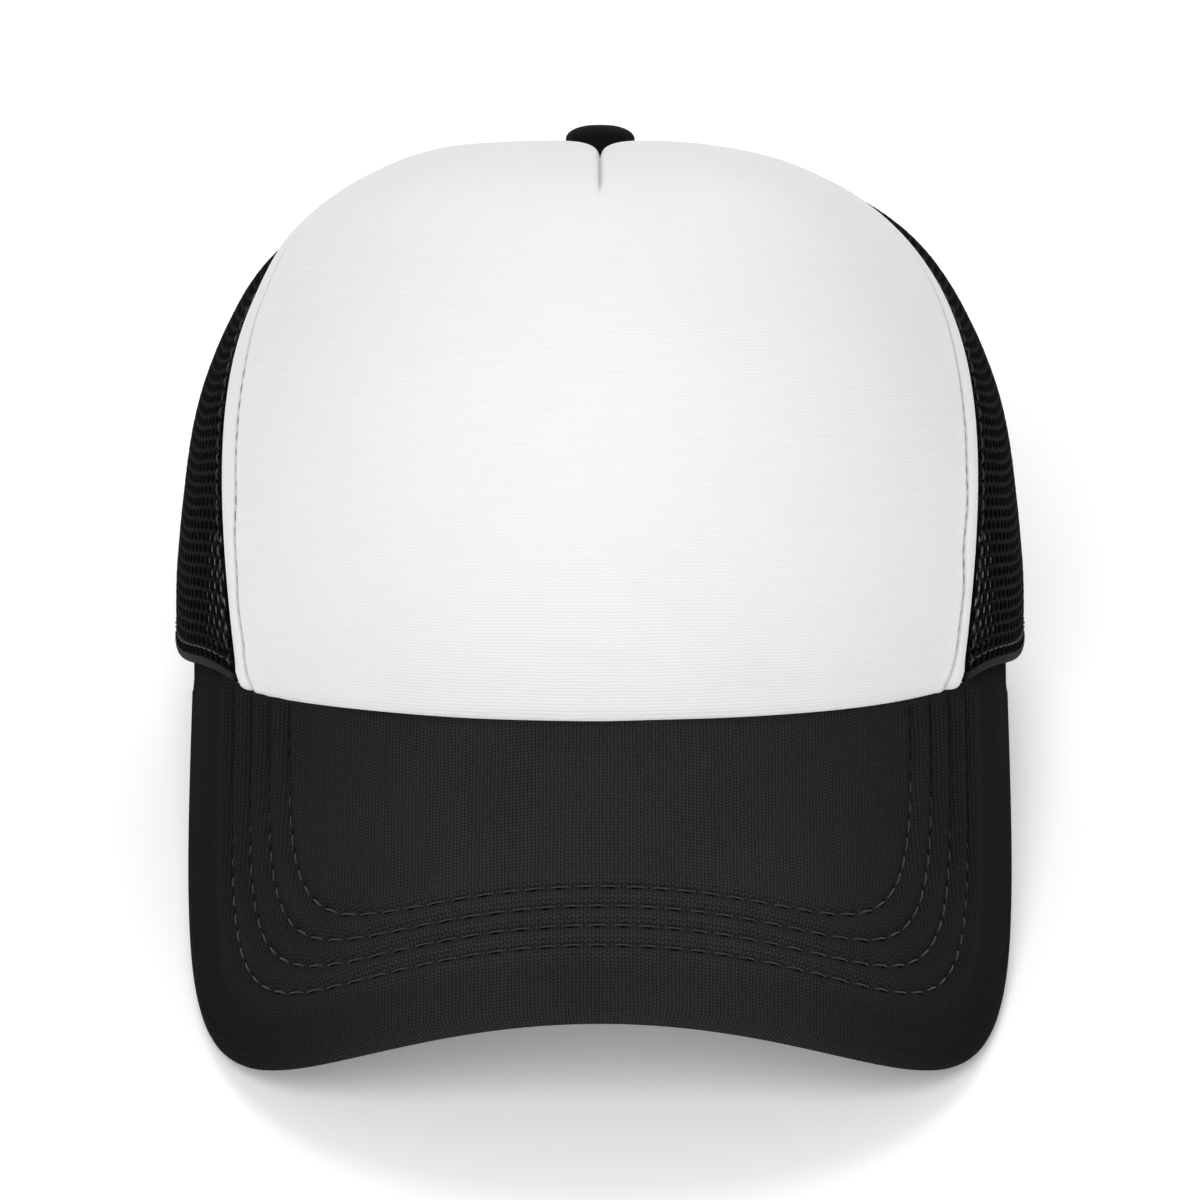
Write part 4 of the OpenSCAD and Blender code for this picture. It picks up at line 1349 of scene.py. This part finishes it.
def visor_top():
    """Knit cover: quilted by four rows of thread, and turned round the edge of the board."""
    angle, share, inset = visor_grid(510, WRAP_START)
    quilt = quilting(angle, share, inset)
    slack = 0.1 * np.sin(angle / 7.3) * np.sin(inset / 6.0) * smooth(share / 0.2)
    tuck = 0.15 * (1 - smooth(share / 0.05))
    outer = visor_layer(angle, share, WRAP_START, quilt + slack + tuck)
    inner = visor_layer(angle, share, WRAP_START + 0.2, 1.2 + 0 * share)
    column = angle[0]
    turned = [(visor_layer(column, np.ones(len(column)), e, d + 0 * column),
               visor_layer(column, np.ones(len(column)), f, g + 0 * column), e, d)
              for (e, d), (f, g) in zip(TURN_OUTSIDE[1:], TURN_INSIDE[1:])]
    outer = np.concatenate((np.stack([row[0] for row in turned])[::-1], outer))
    inner = np.concatenate((np.stack([row[1] for row in turned])[::-1], inner))
    flat = np.stack(visor_flat(angle, share, WRAP_START), -1)
    edge = flat[0]
    forward = edge / norm(edge)
    around = [edge + forward * (WRAP_START - e + d) for _, _, e, d in turned]
    flat = np.concatenate((np.stack(around)[::-1], flat))
    # Painted shade on the top cover; its turned edge repeats the shade of the cover's outer row
    painted_shade = visor_painted_shade(angle, share, inset)
    painted_shade = np.concatenate((np.repeat(painted_shade[:1], len(turned), 0), painted_shade))
    obj = sheet_piece("visor_cover_top", outer, inner, flat, KNIT,
                      ["visor_top_cover"], painted_shade)
    return cut_sheet(obj, flat)


def visor_under():
    """Cover underneath, pulled up to the board by the same rows of thread."""
    angle, share, inset = visor_grid(300, UNDER_INSET)
    quilt = quilting(angle, share, inset)
    edge = rolled(np.maximum(inset - UNDER_INSET, 0), 0.6)
    outer = visor_layer(angle, share, UNDER_INSET, BOARD_UNDER + 0.1 + 0 * share)
    inner = visor_layer(angle, share, UNDER_INSET, VISOR_THICK - 0.55 * quilt - 0.75 * edge)
    flat = np.stack(visor_flat(angle, share, UNDER_INSET), -1)
    obj = sheet_piece("visor_cover_under", outer, inner, flat, KNIT, ["visor_under_cover"])
    return cut_sheet(obj, flat)


def visor_ends():
    """The cover's rear corners, turned in over the ends of the board."""
    share = np.linspace(0.03, 1, 60)[:, None]
    turn = np.linspace(0, 2 * np.pi, 17)[None, :-1]
    depth = VISOR_THICK / 2 + 0.1 + (VISOR_THICK / 2 - 0.3) * np.sin(turn)
    for side, word in SIDES:
        end = side * VISOR_END + 0 * share
        ring = visor_layer(end, share, 0.9, depth)
        out = ring - visor_layer(end - side, share, 0.9, depth)
        ring = ring + out / norm(out) * (0.1 + 0.4 * np.cos(turn))[..., None]
        points, faces = sweep_mesh(ring)
        across, along = np.broadcast_arrays(1.6 * turn, 30 * share)
        piece(f"visor_end_{word}", points, faces, KNIT,
              cloth=np.stack((across, along), -1).reshape(-1, 2))


def visor_thread():
    rows = []
    for inset in ROWS:
        angle, share, _ = thread_line(inset)
        bed = quilting(angle, share, np.full(len(angle), inset))
        sunk = bed - 0.12 + 0.25 * smooth((np.abs(angle) - 28) / 30)
        for depth, sign in ((sunk, 1), (VISOR_THICK - 0.55 * bed + 0.05, -1)):
            line = visor_layer(angle, share, WRAP_START, depth)
            above = visor_layer(angle, share, WRAP_START, depth - 1)
            rows.append((line, sign * (above - line) / norm(above - line)))
    return thread("visor_thread", rows, 0.2, VISOR_PITCH, VISOR_THREAD,
                  ["visor_topstitching"], fill=VISOR_FILL)


# ---- button ----

BUTTON_DROP = 3.8        # the cloth goes this far down into the panel below the dome's widest part
BUTTON_TUCK = 1.5        # the cloth is turned this far under the button
BUTTON_ARC = 8.4         # length of the cloth from its middle to the dome's widest part
BUTTON_UNDER = 0.35      # the turned-under cloth, as a share of that length


def at_button(points):
    slope = math.atan(CREST_SLOPE)
    x, y, z = np.moveaxis(points, -1, 0)
    return np.stack((x, y * math.cos(slope) + z * math.sin(slope) - BUTTON_FORWARD,
                     z * math.cos(slope) - y * math.sin(slope) + CROWN_HEIGHT), -1)


def button_cloth():
    """Twill drawn over the button's cap, with small pleats where it is gathered underneath."""
    around = np.linspace(0, 2 * np.pi, 145)[None, :-1]
    climb = np.concatenate((np.linspace(0.02, 1, 34), 1 + np.linspace(0.04, 1, 10) * BUTTON_UNDER))[:, None]
    dome = np.minimum(climb, 1) * np.pi / 2
    under = np.maximum(climb - 1, 0) / BUTTON_UNDER
    rim_high = 1.15
    radius = (BUTTON_RADIUS * np.sin(dome) ** 0.92 - 0.15 * hump(under, 1, 0.5)
              - BUTTON_TUCK * smooth(under * 1.2 - 0.35))
    height = rim_high + (BUTTON_RISE - 1) * np.cos(dome) ** 0.9 - BUTTON_DROP * smooth(under * 1.5)
    pleats = (np.cos(around * 17 + 0.9 * np.sin(around * 3)) + 0.6 * np.cos(around * 29 + 1.7)) * 0.5
    amount = 0.16 * smooth((climb - 0.62) / 0.45)
    radius = radius + amount * pleats
    height = height + 0.6 * amount * pleats * np.cos(dome) - 0.07 * hump(climb, 0.0, 0.12)
    shape = np.stack((radius * np.cos(around), radius * np.sin(around), height + 0 * around), -1)
    thin = np.stack((radius - 0.45 * np.sin(dome), height - 0.45 * np.cos(dome)), -1)
    inside = np.stack((thin[..., 0] * np.cos(around), thin[..., 0] * np.sin(around), thin[..., 1]), -1)
    rows, cols = shape.shape[:2]
    grid = np.arange(rows * cols).reshape(rows, cols)
    grid = np.concatenate((grid, grid[:, :1]), 1)
    foot = grid[-1]
    last = np.stack((foot[:-1], foot[1:], foot[1:] + rows * cols, foot[:-1] + rows * cols), -1)
    faces = as_tuples(np.concatenate((quads(grid), quads(grid + rows * cols)[:, ::-1], last[:, ::-1])))
    faces += [tuple(grid[0, :-1].tolist()), tuple((grid[0, :-1] + rows * cols)[::-1].tolist())]
    arc_length = climb * BUTTON_ARC
    flat = np.stack((arc_length * np.cos(around), arc_length * np.sin(around)), -1).reshape(-1, 2)
    points = at_button(np.concatenate((shape.reshape(-1, 3), inside.reshape(-1, 3))))
    obj = piece("button_cloth", points, faces, BUTTON_TWILL, ["button_cover"],
                cloth=np.concatenate((flat, flat)))
    return cut_sheet(obj, flat, math.pi * (climb[-1, 0] * BUTTON_ARC) ** 2)


# ---- snap straps ----

FIRST_SNAP = -SNAP_PITCH * (SNAPS_CLOSED - 1) / 2
STRAP_END = FIRST_SNAP - TIP_REACH
CELL_STEPS = 10
BOX_STEPS = 14
BOX_HALF = 7.6           # half the height of the part of a strap that surrounds a snap
STRAP_RIM = 0.5          # radius of a strap's rounded edge
FIELD_HALF = 7.2         # the face is a little lower inside its border
PEG_NECK = 1.45
PEG_HEAD = 2.05
RIM_STEPS = np.array((0, 0.07, 0.25, 0.55, 0.9))      # rows and columns close to a strap's edge


def strap_angle(along):
    """Degrees round the strap's axis at a length along it, counted from the nape."""
    return np.degrees(along / HOLE_STRAP_OUT)


def tip_line(height):
    return STRAP_END + TIP_RADIUS - np.sqrt(TIP_RADIUS ** 2 - height ** 2)


def strap_warp(along, height):
    """Bends the square end of the grid to the curved end of the strap."""
    fixed = FIRST_SNAP + SNAP_PITCH / 2
    factor = (fixed - tip_line(height)) / (fixed - STRAP_END)
    return np.where(along < fixed, fixed - (fixed - along) * factor, along)


def snap_rings(profile, box, centre):
    """Rings of flat places from a snap's own profile out to the grid round it."""
    turn = np.arange(len(box)) * 2 * np.pi / len(box)
    circle = np.stack((np.cos(turn), np.sin(turn)), -1)
    rings = [centre + radius * circle for radius, _ in profile]
    start = rings[-1]
    rings += [start + (box - start) * share for share in (0.35, 0.7, 1.0)]
    return rings


def strap(name, out, side, profile, closed, slots_for, body):
    """One moulded strap: a face for each side, joined round the edge and round each snap."""
    heights = np.concatenate((RIM_STEPS - STRAP_HALF, np.linspace(-BOX_HALF, BOX_HALF, BOX_STEPS + 1),
                              STRAP_HALF - RIM_STEPS[::-1]))
    low_row = len(RIM_STEPS)
    high_row = low_row + BOX_STEPS
    cells = FIRST_SNAP - SNAP_PITCH / 2 + np.arange(SNAP_COUNT * CELL_STEPS + 1) * SNAP_PITCH / CELL_STEPS
    tip = STRAP_END + RIM_STEPS
    root = np.radians(ROOT) * HOLE_STRAP_OUT
    tail = np.linspace(cells[-1], root, 26)[1:]
    columns = np.concatenate((tip, cells, tail))
    first_cell = len(tip)
    along = np.broadcast_to(columns[None], (len(heights), len(columns)))
    level = np.broadcast_to(heights[:, None], along.shape)
    flat = np.stack((strap_warp(along, level), level), -1)
    grid = np.arange(along.size).reshape(along.shape)
    keep = np.ones((len(heights) - 1, len(columns) - 1), bool)
    for k in range(SNAP_COUNT):
        left = first_cell + k * CELL_STEPS
        keep[low_row:high_row, left:left + CELL_STEPS] = False
    top = quads(grid).reshape(keep.shape + (4,))[keep]
    places = [flat.reshape(-1, 2)]
    rises = [face_rise(flat, tip_gap(flat)).ravel()]
    count = along.size
    faces = [top]
    inner_loops = []
    for k in range(SNAP_COUNT):
        left = first_cell + k * CELL_STEPS
        right, middle = left + CELL_STEPS, low_row + BOX_STEPS // 2
        loop = ([grid[i, right] for i in range(middle, high_row)]
                + [grid[high_row, j] for j in range(right, left, -1)]
                + [grid[i, left] for i in range(high_row, low_row, -1)]
                + [grid[low_row, j] for j in range(left, right)]
                + [grid[i, right] for i in range(low_row, middle)])
        loop = np.array(loop)
        box = flat.reshape(-1, 2)[loop]
        rings = snap_rings(profile, box, np.array((FIRST_SNAP + SNAP_PITCH * k, 0.0)))[:-1]
        ids = count + np.arange(len(rings) * len(loop)).reshape(len(rings), len(loop))
        count += ids.size
        chain = np.concatenate((ids, loop[None]))
        chain = np.concatenate((chain, chain[:, :1]), 1)
        faces.append(quads(chain)[:, ::-1])
        inner_loops.append(ids[0])
        for number, ring in enumerate(rings):
            places.append(ring)
            own = profile[number][1] if number < len(profile) else None
            rises.append(face_rise(ring, tip_gap(ring)) if own is None else np.full(len(ring), own))
    return strap_piece(name, out, side, places, rises, faces, grid, inner_loops, count, closed,
                       slots_for, body)


def tip_gap(flat):
    return flat[..., 0] - tip_line(np.clip(flat[..., 1], -STRAP_HALF, STRAP_HALF))


def face_rise(flat, gap):
    """How far the moulded face stands over the strap's plain face: rounded edges and a low field."""
    edge = np.minimum(STRAP_HALF - np.abs(flat[..., 1]), np.maximum(gap, 0))
    return -rolled(edge, STRAP_RIM) - 0.14 * smooth((edge - (STRAP_HALF - FIELD_HALF)) / 0.5)


def strap_piece(name, out, side, places, rises, faces, grid, inner_loops, count, closed, slots_for, body):
    """Joins the two faces and stands the strap on its arc."""
    flat = np.concatenate(places)
    rise = np.concatenate(rises)
    plain = np.concatenate([face_rise(p, tip_gap(p)) for p in places])
    under = -STRAP_THICK - plain
    rim_loop = outline(grid)
    after = np.roll(rim_loop, -1)
    joined = np.concatenate(faces)
    walls = [np.stack((after, rim_loop, rim_loop + count, after + count), -1)]
    back = joined[:, ::-1] + count
    extra = []
    for loop in inner_loops:
        if closed:
            extra.append(tuple(loop.tolist()))
            extra.append(tuple((loop + count)[::-1].tolist()))
        else:
            ahead = np.roll(loop, -1)
            walls.append(np.stack((loop, ahead, ahead + count, loop + count), -1))
    all_faces = as_tuples(np.concatenate([joined, back] + walls)) + extra
    along, height = np.concatenate((flat, flat)).T
    radius = out + np.concatenate((rise, under))
    turn = strap_angle(along)
    points = np.stack((side * radius * sin(turn), STRAP_CENTRE + radius * cos(turn),
                       STRAP_LOW + STRAP_HALF + height), -1)
    obj = piece(name, points, all_faces, PLASTIC, slots_for, None,
                np.concatenate((flat, flat)))
    hinge = [place(np.array((side * out * sin(a), STRAP_CENTRE + out * cos(a),
                             STRAP_LOW + STRAP_HALF))) for a in (HINGE + BEND_HALF, HINGE - BEND_HALF)]
    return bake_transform(obj, CROWN, body, start=tuple(hinge[0]), end=tuple(hinge[1]))


def snap_straps():
    rim_profile = ((HOLE_RADIUS, -0.5), (HOLE_RADIUS + 0.06, -0.12), (HOLE_RADIUS + 0.2, 0.08),
                   (HOLE_RADIUS + 0.5, 0.14), (HOLE_RADIUS + 0.8, 0.08), (HOLE_RADIUS + 0.95, -0.12))
    peg_profile = ((0.45, 1.5), (0.75, 1.52), (0.95, 1.72), (1.3, 1.82), (1.7, 1.72), (PEG_HEAD, 1.4),
                   (PEG_HEAD, 1.2), (1.8, 1.02), (PEG_NECK, 0.9), (PEG_NECK, 0.3), (PEG_NECK + 0.12, 0.02),
                   (PEG_NECK + 0.4, -0.12))
    strap("strap_of_holes", HOLE_STRAP_OUT, 1, rim_profile, False,
          ["snap_strap_holes", "strap_root_holes"], "strap_with_holes")
    strap("strap_of_pegs", PEG_STRAP_OUT, -1, peg_profile, True,
          ["snap_strap_pegs", "strap_root_pegs"], "strap_with_pegs")
    for side, word in SIDES:
        rows = []
        for phi in (145.0, 149.0):
            height = np.linspace(3, 19.2, 60)
            t = share_at(np.full(60, phi), height)
            rows.append((shell(side * phi + 0 * t, t, 0.05 + 0 * t), crown_normal(side * phi + 0 * t, t)))
        thread(f"strap_thread_{word}", rows, 0.2, 2.7, DARK_THREAD,
               [f"strap_stitching_{word}"])


# ---- the pieces ----

front_panel()
front_panel_foam()
front_topstitching()
net_panels()
crown_seams()
opening_binding()
rim_hem()
sweatband()
sweatband_pad()
care_label()
visor_top()
visor_under()
visor_ends()
visor_thread()
button_cloth()
snap_straps()

for node, surface in (("visor_board", BOARD_PLASTIC), ("button_shell", STEEL), ("button_rivet", STEEL)):
    frame["nodes"][node].data.materials.clear()
    frame["nodes"][node].data.materials.append(surface)


# ---- camera, floor and light ----

CAMERA_TARGET = Vector((0.0, 0.0100, 0.0421))
CAMERA_DISTANCE = 1.987
CAMERA_RISE = math.radians(30.32)
LENS = 295.0

# Position, size and power of each soft light
SOFT_LIGHTS = (((-0.25, -1.6, 1.5), 1.2, 26.0),      # high in front, a little to the left
               ((1.5, -1.1, 0.6), 1.2, 2.8),         # low at the right
               ((0.0, 1.2, 1.6), 1.4, 17.0),         # high behind
               ((-1.4, -1.5, 0.5), 1.2, 1.2))        # low at the left


def look_at(obj, target):
    obj.rotation_euler = (target - obj.location).to_track_quat("-Z", "Y").to_euler()


def add_camera():
    camera = bpy.data.objects.new("camera", bpy.data.cameras.new("camera"))
    bpy.context.scene.collection.objects.link(camera)
    camera.data.lens = LENS
    camera.data.sensor_width = 36.0
    camera.data.clip_start = 0.05
    camera.data.clip_end = 50.0
    back = Vector((0, -math.cos(CAMERA_RISE), math.sin(CAMERA_RISE)))
    camera.location = CAMERA_TARGET + CAMERA_DISTANCE * back
    look_at(camera, CAMERA_TARGET)
    bpy.context.scene.camera = camera


def add_floor():
    half, level = 12.0, -0.0003
    mesh = bpy.data.meshes.new("floor")
    corners = [(-half, -half, level), (half, -half, level), (half, half, level), (-half, half, level)]
    mesh.from_pydata(corners, [], [(0, 1, 2, 3)])
    mesh.materials.append(studio_paper())
    floor = bpy.data.objects.new("floor", mesh)
    bpy.context.scene.collection.objects.link(floor)


def add_light():
    world = bpy.data.worlds.new("studio")
    world.use_nodes = True
    background = world.node_tree.nodes["Background"]
    background.inputs["Color"].default_value = (1, 1, 1, 1)
    background.inputs["Strength"].default_value = 0.3
    bpy.context.scene.world = world
    for number, (spot, size, power) in enumerate(SOFT_LIGHTS):
        lamp = bpy.data.lights.new(f"soft_light_{number}", "AREA")
        lamp.shape = "DISK"
        lamp.size = size
        lamp.energy = power
        obj = bpy.data.objects.new(lamp.name, lamp)
        bpy.context.scene.collection.objects.link(obj)
        obj.location = spot
        look_at(obj, CAMERA_TARGET)


add_camera()
add_floor()
add_light()
bpy.context.scene.view_settings.view_transform = "Standard"
